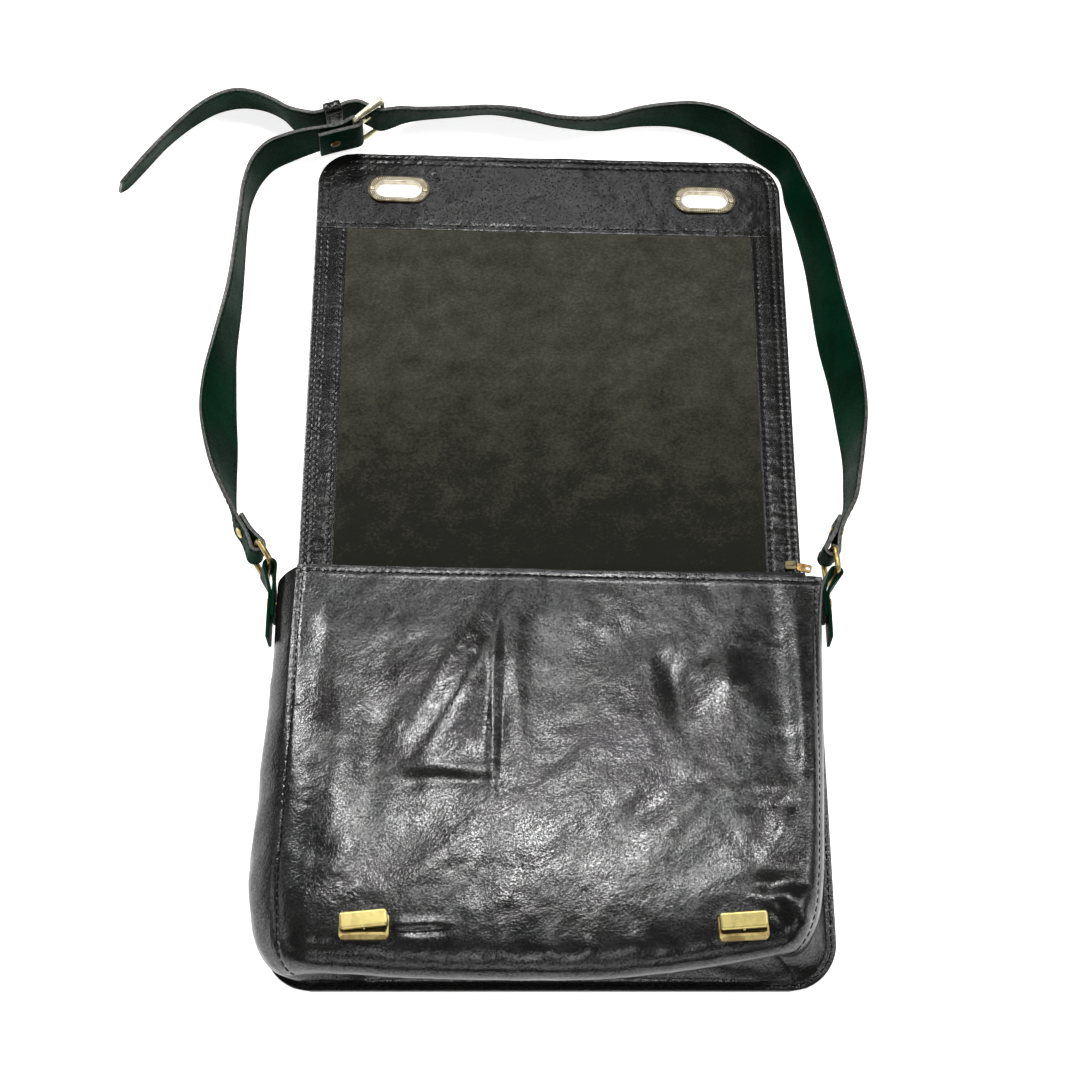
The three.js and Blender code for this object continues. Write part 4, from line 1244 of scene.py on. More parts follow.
    def build(self, finishes: Finishes) -> None:
        """Makes the leather, the facings, the lining and the stitching."""
        looks = finishes.leather, finishes.cut_edge
        tie = "leather", "back_and_flap"
        soft_piece("back_leather", self.outline, (60, 150), looks, (self.wall, 0.5), tie, self.slot_cutters())

        facing = self.facing_wall, 0.4
        looks = finishes.facing, finishes.cut_edge
        tie = "leather", "flap_end_facing"
        soft_piece("end_facing_leather", self.end_facing, (300, 70), looks, facing, tie, self.slot_cutters())

        looks = finishes.side_facing, finishes.cut_edge
        for side in Side:
            tie = "leather", f"flap_side_facing_{side.value}"
            soft_piece(f"{side.value}_facing_leather", self.side_facing(side), (26, 330), looks, facing, tie)

        looks = finishes.suede, finishes.suede
        tie = "suede", "flap_lining"
        soft_piece("suede_lining", self.lining, (110, 120), looks, (self.lining_wall, 0.3), tie)
        self.sew(finishes)

    def sew(self, finishes: Finishes) -> None:
        """Sews the facings down: two rows along the outer edges and one along the inner edges."""
        thread = Stitching("flap_stitches", self.stitch, 3.4, 0.8)
        z = self.facing_z + self.facing_wall + 0.1
        root = self.side_root + 2
        lines = []
        for from_edge in self.outer_rows:
            half, radius = self.half - self.inset - from_edge, self.corner - self.inset - from_edge
            turn = np.linspace(0, math.pi / 2, 30)
            top = self.end - self.inset - from_edge - radius
            right = np.column_stack([half - radius + radius * np.cos(turn), top + radius * np.sin(turn)])
            left = (right * (-1, 1))[::-1]
            line = np.vstack([[(half, root)], right, left, [(-half, root)]])
            line[:, 1] -= self.skew * line[:, 0] * smoothstep(line[:, 1], self.fold, self.skew_full)
            lines.append(line)
        for side in Side:
            x = side.sign * (self.half - self.inset - self.side_band + self.inner_row)
            lines.append(np.array([(x, root), (x, self.end - self.end_band - self.skew * x - 2)]))
        across = np.array((-1, 1)) * (self.half - self.inset - 10)
        lines.append(np.column_stack([across, self.end - self.end_band + self.end_row - self.skew * across]))
        for line in lines:
            place = np.column_stack([line, np.full(len(line), z)]) * MM
            thread.run(place, np.tile((0.0, 0.0, 1.0), (len(place), 1)))
        thread.piece(finishes, "leather")


# Turn of the slots in radians, and their middles in mm
SLOT_TURN = -0.043
SLOTS = {Side.LEFT: (-114.5, 473.0), Side.RIGHT: (119.0, 463.0)}


class LockPlace(NamedTuple):
    """Where a turn lock's bar turns: its foot in metres, its axis, and the turns in degrees."""

    foot: Vector
    axis: Vector
    base_turn: float
    bar_turn: float


LOCK_PLACES = {
    Side.LEFT: LockPlace(
        Vector((-0.1161511, -0.1104201, 0.0661249)), Vector((0.001256, -0.027105, 0.999632)), 0, 5.6
    ),
    Side.RIGHT: LockPlace(
        Vector((0.1202141, -0.1109076, 0.0658108)), Vector((0.013079, -0.079896, 0.996717)), 3.2, 1
    ),
}


# Metal fittings


def stand(obj: bpy.types.Object, along: Vector, up: Vector, at: Vector) -> None:
    """Turns a piece's X along a direction and its Y up a lean, and moves its origin to a point."""
    upright = up.normalized()
    facing = along.cross(upright).normalized()
    turn = Matrix((upright.cross(facing), upright, facing)).transposed().to_4x4()
    obj.data.transform(Matrix.Translation(at) @ turn)
    obj.data.update()


def aim(obj: bpy.types.Object, axis: Vector, at: Vector) -> None:
    """Turns a piece's Z along an axis and moves its origin to a point."""
    turn = Vector((0, 0, 1)).rotation_difference(axis).to_matrix().to_4x4()
    obj.data.transform(Matrix.Translation(at) @ turn)
    obj.data.update()


def join(whole: bpy.types.Object, *others: bpy.types.Object) -> None:
    """Joins pieces into one."""
    activate(whole)
    for other in others:
        other.select_set(True)
    bpy.ops.object.join()


@dataclass
class TurnLock:
    """Brass turn lock: a base on the front panel and a bar that turns on it. Sizes in mm."""

    side: Side
    base: tuple[float, float, float] = (31.0, 16.0, 6.0)
    base_shift: float = -2.6
    bar: tuple[float, float, float] = (30.0, 10.8, 5.0)
    bar_shift: float = 0.95
    gap: float = 0.3
    stem: float = 2.3
    base_corner: float = 2.5
    lip: float = 2.4
    bore: float = 5.2
    bed: tuple[float, float] = (28.6, 10.4)
    bed_shift: float = 1.2
    bed_depth: float = 2.6
    bar_corner: float = 2.2
    bar_bevel: float = 1.5
    notch: tuple[float, float, float] = (3.4, 2.0, 4.0)

    def seat(self) -> Matrix:
        """Turns and moves from the lock's own frame to the front panel."""
        spot = LOCK_PLACES[self.side]
        turn = Vector((0, 0, 1)).rotation_difference(spot.axis).to_matrix().to_4x4()
        return Matrix.Translation(spot.foot) @ turn @ Matrix.Rotation(math.radians(spot.base_turn), 4, "Z")

    def build_base(self, finishes: Finishes) -> None:
        """Makes the base: a sunken bed under the bar, with painted shade in it, and a sloped lip in front of
        it.
        """
        name = self.side.value
        _, width, depth = self.base
        foot = rounded_block(f"{name}_lock_foot", self.base, self.base_corner)
        top, front = (depth - 0.1) * MM, (1 - width) * MM
        bevel_edges(foot, lambda a, b: min(a.z, b.z) > top and a.y + b.y < front, self.lip * MM, 1)
        round_edges(foot, 0.5, 30)
        bore = rounded_block("lock_bore", (self.bore, self.bore, 10), self.bore / 2)
        shift(bore, 0, -self.base_shift, -2)
        bed = rounded_block("lock_bed", (*self.bed, 4), 1.6)
        shift(bed, 0, self.bed_shift, depth - self.bed_depth)
        cut_away(foot, bore, bed)
        # The second finish, dark brass, is painted shade: the shadow that the bar casts into the sunken bed.
        dress(foot, finishes.dull_brass, finishes.dark_brass)
        near = 0.1
        for face in foot.data.polygons:
            x, y, z = face.center / MM
            over_bed = abs(x) < self.bed[0] / 2 + near and abs(y - self.bed_shift) < self.bed[1] / 2 + near
            in_painted_shade = over_bed and depth - self.bed_depth - near < z < depth - 2 * near
            face.material_index = int(in_painted_shade)
        drop = Matrix.Translation((0, self.base_shift * MM, -(depth + self.gap) * MM))
        foot.data.transform(self.seat() @ drop)
        hand_over(foot, "brass", f"lock_base_{name}")

    def build_bar(self, finishes: Finishes) -> None:
        """Makes the bar with its stem, and the nub of its catch."""
        name = self.side.value
        _, width, depth = self.bar
        bar = rounded_block(f"{name}_lock_turner", self.bar, self.bar_corner)
        top = (depth - 0.1) * MM
        bevel_edges(bar, lambda a, b: min(a.z, b.z) > top, self.bar_bevel * MM, 2)
        round_edges(bar, 0.3, 35)
        notch = rounded_block("lock_notch", self.notch, self.notch[1] / 2)
        shift(notch, 0, -width / 2, -1)
        cut_away(bar, notch)
        stem = lathe("lock_stem", [(0, -4.5), (self.stem, -4.5), (self.stem, 1), (0, 1)])
        nub = lathe("lock_nub", [(0, 0), (0.9, 0), (0.8, 0.5), (0.4, 0.9), (0, 1)])
        shift(nub, 0, self.bar_shift - width / 2, 1.6)
        shift(bar, 0, self.bar_shift, 0)
        join(bar, stem, nub)
        turn = Matrix.Rotation(math.radians(LOCK_PLACES[self.side].bar_turn), 4, "Z")
        bar.data.transform(self.seat() @ turn)
        dress(bar, finishes.brass)
        hand_over(bar, "brass", f"lock_bar_{name}", body=f"{name}_lock_bar")

    def build(self, finishes: Finishes) -> None:
        """Makes both pieces."""
        self.build_base(finishes)
        self.build_bar(finishes)


@dataclass
class SlotPlate:
    """Pale plate round a slot of the flap, with a raised rim, a knurled face and two pins. In mm."""

    side: Side
    size: tuple[float, float, float] = (47.0, 23.0, 1.6)
    hole: tuple[float, float] = (34.5, 14.6)
    groove: tuple[float, float] = (45.6, 21.6)
    seat: float = 4.4
    floor: float = 1.15
    collar: tuple[float, float, float] = (36.1, 16.2, 5.4)
    collar_foot: float = -3.6
    knurl: tuple[float, float, float] = (0.9, 1.05, 0.75)
    knurl_step: float = 1.6
    knurl_rows: tuple[float, float, float] = (8.85, 10.15, 11.45)
    pin_at: float = 20.2
    pin_clear: float = 2.5

    def round_ended(self, name: str, size: Sequence[float], foot: float) -> bpy.types.Object:
        """Block with round ends, of a length, width and height, from a height up."""
        block = rounded_block(name, size, size[1] / 2, 0, 14)
        shift(block, 0, 0, foot)
        return block

    def cut_hole(self, obj: bpy.types.Object) -> None:
        """Cuts the slot through a piece."""
        cut_away(obj, self.round_ended("slot_hole", (*self.hole, 20), -8))

    def build(self, finishes: Finishes) -> None:
        """Makes the plate, its collar, its knurling and its pins."""
        plate = self.round_ended(f"{self.side.value}_slot_rim", self.size, 0)
        cut_away(plate, self.round_ended("slot_groove", (*self.groove, 2), self.floor))
        self.cut_hole(plate)
        collar = self.round_ended("slot_collar", self.collar, self.collar_foot)
        self.cut_hole(collar)
        for part in (plate, collar):
            round_edges(part, 0.25, 50, use_clamp_overlap=False)
        pins = []
        for sign in (-1, 1):
            profile = [(0, 0), (1.9, 0), (1.9, 1.7), (1.6, 2.0), (0.9, 2.0), (0.7, 1.2), (0, 1.2)]
            pin = lathe("slot_pin", profile, 16)
            shift(pin, sign * self.pin_at, 0, 0)
            pins.append(pin)
        dress(plate, finishes.dark_brass)
        raised = [collar, self.knurling(), *pins]
        for part in raised:
            dress(part, finishes.pale_brass)
        join(plate, *raised)
        shift(plate, *SLOTS[self.side], self.seat, SLOT_TURN)
        hand_over(plate, "pale_brass", f"slot_plate_{self.side.value}")

    def knurling(self) -> bpy.types.Object:
        """Rows of small blocks round the slot, inside the groove and clear of the pins."""
        straight = (self.hole[0] - self.hole[1]) / 2
        outer = (self.groove[0] - self.groove[1]) / 2
        poses = []
        for radius in self.knurl_rows:
            turn = np.linspace(-math.pi / 2, math.pi / 2, 40)
            right = np.column_stack([straight + radius * np.cos(turn), radius * np.sin(turn)])
            line = np.vstack([right, -right, right[:1]])
            reach = reach_of(line)
            for at in np.arange(0, reach[-1], self.knurl_step):
                x, y = (np.interp(at, reach, line[:, axis]) for axis in (0, 1))
                past = math.hypot(x - np.clip(x, -outer, outer), y) + 0.4 > self.groove[1] / 2
                if past or math.hypot(abs(x) - self.pin_at, y) < self.pin_clear:
                    continue
                lean = math.atan2(y, x - np.clip(x, -straight, straight))
                poses.append(Matrix.Translation((x * MM, y * MM, MM)) @ Matrix.Rotation(lean, 4, "Z"))
        block = rounded_block("knurl_block", self.knurl, 0.2, 0, 1)
        return scatter(block, "slot_knurling", poses)


def add_rivet(
    name: str, grip: float, axis: Vector, at: Vector, look: bpy.types.Material, node: str
) -> None:
    """Adds a domed brass rivet through leather.

    Args:
        name: Name of the piece.
        grip: Thickness of the leather in mm.
        axis: Direction out of its head.
        at: Seat of its head in mm.
        look: Its material.
        node: CAD node that it stands for.
    """
    tail, shank, head, washer = 2.6, 1.3, 4, 0.7
    back = [(0, -grip - washer), (tail, -grip - washer), (tail, -grip), (shank, -grip), (shank, 0)]
    dome = [(head, 0), (head, 0.35), (3.5, 0.8), (2.2, 1.2), (0, 1.35)]
    obj = lathe(name, back + dome)
    aim(obj, axis.normalized(), at * MM)
    dress(obj, look)
    hand_over(obj, "brass", node)


# Straps


class StrapRow(NamedTuple):
    """Where a standing strap's low edge meets the floor, and how its width leans over, in mm."""

    x: float
    y: float
    rise: float
    width: float
    lean_x: float
    lean_y: float


LONG_RUN = [
    StrapRow(209, 200, 4, 28, 5, 0), StrapRow(211.5, 220, 1, 35, 7, 0), StrapRow(212, 240, 1, 35, 10, 0),
    StrapRow(209, 268, 1, 35, 17, 2), StrapRow(205, 301, 1, 35, 20, 3), StrapRow(199, 335, 1, 35, 21, 3),
    StrapRow(196, 369, 1, 35, 18, 1), StrapRow(193, 404, 1, 35, 15, 2), StrapRow(187, 437, 1, 35, 13, 4),
    StrapRow(181.5, 460, 1, 35, 10, 5), StrapRow(177, 486, 1, 35, 4, 3), StrapRow(152, 508, 1, 35, 3, 2),
    StrapRow(133, 522, 1, 35, 2, 3), StrapRow(114, 530, 1, 35, 0, 1), StrapRow(96, 535, 1, 35, -1, -4),
    StrapRow(70, 535.5, 1, 35, 0, -8), StrapRow(39, 531.5, 1, 35, 0, -12),
    StrapRow(10, 535, 1, 35, -3, -14), StrapRow(-18, 542, 1, 35, -3, -14),
    StrapRow(-45, 547, 1, 35, 0, -16), StrapRow(-74, 544.5, 1, 35, 1, -15),
    StrapRow(-103, 541, 1.5, 35, 2, -13), StrapRow(-114, 537, 3.5, 35, 2, -10),
    StrapRow(-123.5, 531, 5.5, 35, 2, -7), StrapRow(-131, 528.9, 5.5, 35, 2, -6),
    StrapRow(-139.7, 533.5, 5.5, 35, 2, -6), StrapRow(-147.3, 537, 5.5, 35, 2, -6),
    StrapRow(-156.5, 535.6, 5.5, 35, 2, -6), StrapRow(-162.5, 532.2, 5.5, 35, 2, -6),
    StrapRow(-171, 529.3, 5.5, 35, 2, -6), StrapRow(-179.6, 526.6, 5.5, 35, 2, -6),
    StrapRow(-188, 527, 3.5, 35, -1, -4), StrapRow(-196, 531, 1.5, 35, -4, -3),
    StrapRow(-205, 541, 1, 35, -5, -6), StrapRow(-220, 549.5, 1, 35, -3, -8),
    StrapRow(-239, 552.5, 1, 35, 0, -8), StrapRow(-258, 548, 1, 35, 4, -8),
    StrapRow(-276, 536, 1, 35, 6, -8), StrapRow(-296, 516, 1, 35, 9, -7), StrapRow(-313, 492, 1, 35, 9, -6),
    StrapRow(-324, 477, 1.5, 33, 9, -6), StrapRow(-329.5, 470, 8, 20, 5, -4),
]

SHORT_RUN = [
    StrapRow(-223, 203, 4, 28, -4, 0), StrapRow(-224.5, 222, 1, 35, -12, 0),
    StrapRow(-225, 252, 1, 35, -20, -1), StrapRow(-227, 276, 1, 35, -22, -2),
    StrapRow(-229, 301, 1, 35, -19, -2), StrapRow(-231, 330, 1, 35, -11, 0),
    StrapRow(-230, 369, 1, 35, -5, 0), StrapRow(-230, 404, 1, 35, -2, 0), StrapRow(-230, 438, 1, 35, 0, 0),
    StrapRow(-228.5, 460, 1, 35, 0, 0), StrapRow(-222, 480, 1, 35, -1, 1),
    StrapRow(-212, 494, 1, 35, -1, 1), StrapRow(-198, 502.5, 1, 35, 0, 0),
    StrapRow(-185, 507.5, 3, 35, 1, -2), StrapRow(-172, 512, 5.5, 35, 2, -5),
    StrapRow(-160, 516, 5.5, 35, 2, -6),
]

SHORT_RETURN = [
    StrapRow(-154, 511.9, 5.5, 35, 2, -6), StrapRow(-164.5, 508.9, 5.5, 35, 2, -6),
    StrapRow(-176, 505.2, 5.5, 35, 2, -6),
]


class RingPlace(NamedTuple):
    """A ring's middle on the floor plan, its direction from strap to tab, and its lean, in mm."""

    x: float
    y: float
    along: tuple[float, float]
    lean: tuple[float, float]
    run_up: tuple[float, float]


RINGS = {
    Side.LEFT: RingPlace(-200, 157, (0.53, -0.85), (4, 2), (-0.53, 0.85)),
    Side.RIGHT: RingPlace(196, 153, (0.08, -1), (3, 0), (0.33, 0.94)),
}


def lean_of(lean_x: float, lean_y: float, width: float) -> Vector:
    """Unit vector up a leaning strip from how far its top edge leans over."""
    return Vector((lean_x, lean_y, math.sqrt(width**2 - lean_x**2 - lean_y**2))).normalized()


def up_lean(x: float, y: float, lean: Vector, z: float) -> Vector:
    """Point above the floor at (x, y), up along a lean to a height."""
    return Vector((x, y, 0)) + lean * (z / lean.z)


def strip(rows: Sequence[StrapRow]) -> Surface:
    """Middle of a strip that stands on its low edge: u along its rows, v up its width."""
    low, top = [], []
    for row in rows:
        lean = lean_of(row.lean_x, row.lean_y, row.width)
        foot = up_lean(row.x, row.y, lean, row.rise)
        low.append(foot)
        top.append(foot + lean * row.width)
    low_edge, top_edge = np.array(low) * MM, np.array(top) * MM

    def surface(u: np.ndarray, v: np.ndarray) -> np.ndarray:
        """Point between the two edges."""
        return flowing_line(low_edge, u) * (1 - v[:, None]) + flowing_line(top_edge, u) * v[:, None]

    return surface


@dataclass
class Ring:
    """Brass ring between a strap's end and a side tab. Sizes in mm."""

    side: Side
    width: float = 18.0
    height: float = 30.0
    corner: float = 4.0
    wire: float = 4.0
    z: float = 17.2
    loop_width: float = 20.0
    loop_rise: float = 7.2
    loop_gap: float = 0.9

    @property
    def spot(self) -> RingPlace:
        """Where the ring is."""
        return RINGS[self.side]

    @property
    def lean(self) -> Vector:
        """Direction up the ring."""
        return lean_of(*self.spot.lean, self.loop_width)

    def bar(self, end: int) -> Vector:
        """Foot of an upright bar: the strap's at -1, the tab's at +1."""
        foot = up_lean(self.spot.x, self.spot.y, self.lean, -self.z)
        away = end * self.width / 2
        return Vector((foot.x + away * self.spot.along[0], foot.y + away * self.spot.along[1], 0))

    def row(self, x: float, y: float) -> StrapRow:
        """Row of a strap or tab at the ring."""
        return StrapRow(x, y, self.loop_rise, self.loop_width, *self.spot.lean)

    def loop(self, end: int, start: Vector, past: Vector, wall: float) -> list[StrapRow]:
        """Rows round a bar, from one side of it past its end to the other side."""
        bar, radius = self.bar(end), self.wire / 2 + self.loop_gap + wall / 2
        rows = []
        for angle in range(0, 181, 30):
            spoke = start * math.cos(math.radians(angle)) + past * math.sin(math.radians(angle))
            rows.append(self.row(bar.x + radius * spoke.x, bar.y + radius * spoke.y))
        return rows

    def build(self, finishes: Finishes) -> None:
        """Bends the wire and stands it between strap and tab."""
        name = f"{self.side.value}_ring_wire"
        ring = wire_ring(name, self.width, self.height, self.corner, self.wire)
        along = Vector((*self.spot.along, 0)).normalized()
        stand(ring, along, self.lean, Vector((self.spot.x, self.spot.y, self.z)) * MM)
        dress(ring, finishes.worn_brass)
        hand_over(ring, "brass", f"ring_{self.side.value}")


@dataclass
class StrapFold:
    """Folded end of a strap round its ring, held by a rivet. Sizes in mm."""

    ring: Ring
    wall: float = 3.0
    end: float = 27.0
    close: float = 14.0
    open: float = 7.0
    close_half: float = 1.8
    open_half: float = 2.9
    rivet_at: float = 18.0
    onward: float = 24.0
    slack: float = 0.3

    def __post_init__(self) -> None:
        """Finds the fold's directions."""
        self.along = Vector((*self.ring.spot.run_up, 0)).normalized()
        self.out = Vector((self.along.y, -self.along.x, 0)) * self.ring.side.sign

    def at(self, up: float, aside: float) -> Vector:
        """Point up the strap from the ring's bar and aside from it."""
        return self.ring.bar(-1) + self.along * up + self.out * aside

    def rows(self) -> list[StrapRow]:
        """Rows from the folded end round the ring's bar and on to the strap."""
        def row(up: float, aside: float) -> StrapRow:
            """One row of the fold."""
            spot = self.at(up, aside)
            return self.ring.row(spot.x, spot.y)

        inner = [(self.end, -self.close_half), (self.close, -self.close_half), (self.open, -self.open_half)]
        outer = [(self.open, self.open_half), (self.close, self.close_half), (self.onward, self.close_half)]
        loop = self.ring.loop(-1, -self.out, -self.along, self.wall)
        return [row(*spot) for spot in inner] + loop + [row(*spot) for spot in outer]

    def build_rivet(self, finishes: Finishes) -> None:
        """Rivets the fold together."""
        side, lean = self.ring.side, self.ring.lean
        axis = self.along.cross(lean) * side.sign
        face = self.at(self.rivet_at, self.close_half)
        head = up_lean(face.x, face.y, lean, self.ring.z) + axis * (self.wall / 2 + self.slack)
        grip = 2 * (self.close_half + self.slack) + self.wall
        name = f"{side.value}_strap_rivet_head"
        add_rivet(name, grip, axis, head, finishes.dull_brass, f"strap_rivet_{side.value}")


# Where the tabs lie on the gusset, in mm along X
GUSSET_FACES = {Side.LEFT: -188.1, Side.RIGHT: 187.7}


@dataclass
class SideTab:
    """Folded tab on the gusset that holds a ring. Sizes in mm."""

    ring: Ring
    wall: float = 2.2
    outer_leaf: float = 3.4
    inner_leaf: float = 0.8
    rivet_y: float = 124.0
    grip: float = 9.6

    def build(self, finishes: Finishes) -> None:
        """Makes the tab and its rivet."""
        side = self.ring.side
        face = GUSSET_FACES[side]
        rise, width = self.ring.loop_rise, self.ring.loop_width

        def flat(offset: float, y: float) -> StrapRow:
            """Row that lies flat along the gusset."""
            return StrapRow(face + side.sign * (offset + self.wall / 2), y, rise, width, 0, 0)

        loop = self.ring.loop(1, Vector((side.sign, 0, 0)), Vector((0, 1, 0)), self.wall)
        rows = [flat(self.outer_leaf, y) for y in (96, 113, 131)]
        rows += loop
        rows += [flat(self.inner_leaf, y) for y in (131, 112)]
        looks = finishes.strap, finishes.strap
        tie = "strap", f"side_tab_{side.value}"
        steps = 8 * (len(rows) - 1), 10
        soft_piece(f"{side.value}_tab_leather", strip(rows), steps, looks, (self.wall, 0.5), tie)
        out = face + side.sign * (self.outer_leaf + self.wall + 0.3)
        head = Vector((out, self.rivet_y, rise + width / 2))
        axis = Vector((side.sign, 0, 0))
        name = f"{side.value}_tab_rivet_head"
        add_rivet(name, self.grip, axis, head, finishes.dull_brass, f"tab_rivet_{side.value}")


@dataclass
class Buckle:
    """Buckle at the top left: frame, prong, rivet and keeper. Sizes in mm."""

    hinge: tuple[float, float] = (-149.0, 518.0)
    direction: tuple[float, float] = (0.77, 0.64)
    lean: tuple[float, float] = (2.0, -6.0)
    strap_width: float = 35.0
    frame: tuple[float, float] = (26.0, 42.0)
    corner: float = 3.0
    wire: float = 4.0
    foot: float = 0.7
    broad: float = 1.7
    keeper_at: tuple[float, float] = (-166.7, 530.9)
    keeper_turn: float = 20.0
    keeper_size: tuple[float, float, float] = (5.2, 38.0, 13.0)
    keeper_wall: float = 1.9
    prong: tuple[float, float, float] = (27.5, 2.8, 3.8)
    rivet_z: float = 22.0
    grip: float = 9.7

    def __post_init__(self) -> None:
        """Finds the buckle's directions."""
        self.along = Vector((*self.direction, 0)).normalized()
        self.far = Vector((-self.along.y, self.along.x, 0))
        self.up = lean_of(*self.lean, self.strap_width)
        self.middle = self.foot + self.frame[1] / 2 + self.wire / 2

    def point(self, along: float, away: float, up: float) -> Vector:
        """Point along the frame from its hinge, away to its far side, and up its lean."""
        return Vector((*self.hinge, 0)) + self.along * along + self.far * away + self.up * up

    def hinge_rows(self, wall: float) -> list[StrapRow]:
        """Rows of the short strap round the hinge bar."""
        radius = self.wire / 2 + 0.9 + wall / 2
        rows = []
        for angle in range(0, 181, 30):
            spoke = self.far * math.cos(math.radians(angle)) + self.along * math.sin(math.radians(angle))
            x, y = self.hinge[0] + radius * spoke.x, self.hinge[1] + radius * spoke.y
            rows.append(SHORT_RETURN[0]._replace(x=x, y=y))
        return rows

    def keeper(self, u: np.ndarray, v: np.ndarray) -> np.ndarray:
        """Middle of the keeper's wall round the strap, with two low ridges."""
        depth, height, band = self.keeper_size
        half_x, half_y, radius = depth / 2 + 1, height / 2 + 1, 3.0
        turn = np.linspace(0, math.pi / 2, 9)
        across, upward = half_x - radius + radius * np.cos(turn), half_y - radius + radius * np.sin(turn)
        quarter = np.column_stack([across, upward])
        loop = np.vstack([quarter, (quarter * (-1, 1))[::-1], quarter * (-1, -1), (quarter * (1, -1))[::-1]])
        loop = np.vstack([loop, loop[:1]])
        reach = reach_of(loop)
        at = u * reach[-1]
        across = np.interp(at, reach, loop[:, 0])
        upward = np.interp(at, reach, loop[:, 1])
        ridge = 0.7 * np.exp(-(((np.abs(v - 0.5) - 0.28) / 0.1) ** 2))
        scale = 1 + ridge / np.hypot(across, upward)
        turn = math.radians(self.keeper_turn)
        along = np.array((math.cos(turn), math.sin(turn), 0))
        aside = np.array((-along[1], along[0], 0))
        middle = np.array((*self.keeper_at, 0)) + np.array(self.up) * self.middle
        flat = np.outer(across * scale, aside) + np.outer(upward * scale, np.array(self.up))
        return (middle + flat + np.outer((v - 0.5) * band, along)) * MM

    def build(self, finishes: Finishes) -> None:
        """Makes the four pieces."""
        self.build_frame(finishes)
        self.build_prong(finishes)
        turn = math.radians(self.keeper_turn)
        axis = Vector((math.cos(turn), math.sin(turn), 0)).cross(self.up).normalized()
        spot = SHORT_RETURN[1]
        head = up_lean(spot.x, spot.y, self.up, self.rivet_z) + axis * 1.8
        add_rivet("buckle_rivet_head", self.grip, axis, head, finishes.worn_brass, "buckle_rivet")
        self.build_keeper(finishes)

    def build_frame(self, finishes: Finishes) -> None:
        """Makes the frame, its upper rail broader towards the free end."""
        width, height = self.frame
        wire = wire_ring("buckle_wire", width, height, self.corner, self.wire)
        points = points_of(wire)
        inner = (height - self.wire) / 2 * MM
        grow = np.interp(points[:, 0], (-width / 2 * MM, width / 2 * MM), (1, self.broad))
        grow[points[:, 1] < inner] = 1
        points[:, 1] = inner + (points[:, 1] - inner) * grow
        points[:, 2] *= grow
        move_points(wire, points)
        stand(wire, self.along, self.up, self.point(width / 2, 0, self.middle) * MM)
        dress(wire, finishes.light_brass)
        hand_over(wire, "brass", "buckle_frame")

    def build_prong(self, finishes: Finishes) -> None:
        """Makes the prong with its eye round the hinge bar."""
        seat = Matrix((self.along, self.far, self.up)).transposed().to_4x4()
        seat = Matrix.Translation(self.point(0, 0, self.middle) * MM) @ seat
        bpy.ops.object.select_all(action="DESELECT")
        bpy.ops.mesh.primitive_torus_add(major_radius=3.3 * MM, minor_radius=1.05 * MM)
        eye = new_piece("prong_eye")
        eye.data.transform(Matrix.Diagonal((1, 1, 1.8, 1)))
        arm = rounded_block("prong_wire", self.prong, 1.3, 0.7)
        shift(arm, 16.2, 3.6, -self.prong[2] / 2, math.radians(2))
        join(arm, eye)
        arm.data.transform(seat)
        dress(arm, finishes.light_brass)
        hand_over(arm, "brass", "buckle_prong")

    def build_keeper(self, finishes: Finishes) -> None:
        """Makes the keeper, closed to a loop."""
        band = sheet("keeper_leather", self.keeper, 72, 24)
        activate(band)
        bpy.ops.object.mode_set(mode="EDIT")
        bpy.ops.mesh.select_all(action="SELECT")
        bpy.ops.mesh.remove_doubles(threshold=1e-6)
        bpy.ops.object.mode_set(mode="OBJECT")
        dress(band, finishes.leather, finishes.cut_edge)
        thicken(band, self.keeper_wall, 0.5)
        hand_over(band, "strap", "strap_keeper")


@dataclass
class Strap:
    """Shoulder strap: the long part with its tail and the short part with the buckle. Sizes in mm."""

    folds: dict[Side, StrapFold]
    buckle: Buckle
    wall: float = 3.0
    stitch_from_edge: float = 3.2

    def build(self, finishes: Finishes) -> None:
        """Makes both parts with their stitching."""
        long_rows = self.folds[Side.RIGHT].rows() + LONG_RUN
        hinge = self.buckle.hinge_rows(self.wall)
        short_rows = self.folds[Side.LEFT].rows() + SHORT_RUN + hinge + SHORT_RETURN
        for name, rows in (("long", long_rows), ("short", short_rows)):
            surface = strip(rows)
            steps = 8 * (len(rows) - 1), 12
            looks = finishes.strap, finishes.strap_edge_highlight
            tie = "strap", f"strap_{name}"
            soft_piece(f"{name}_strap_leather", surface, steps, looks, (self.wall, 0.6), tie)
            self.stitch(name, surface, finishes)

    def stitch(self, name: str, surface: Surface, finishes: Finishes) -> None:
        """Sews along both edges, on both faces."""
        thread = Stitching(f"{name}_strap_stitches", 5.0, 3.3, 0.8)
        u = np.linspace(0.004, 0.996, 1200)
        span = np.linalg.norm(surface(u, np.ones_like(u)) - surface(u, np.zeros_like(u)), axis=1)
        for share in (self.stitch_from_edge * MM / span, 1 - self.stitch_from_edge * MM / span):
            out = normals_of(surface, u, share)
            for sign in (1, -1):
                thread.run(surface(u, share) + sign * out * (self.wall / 2 + 0.05) * MM, sign * out)
        thread.piece(finishes, "strap")


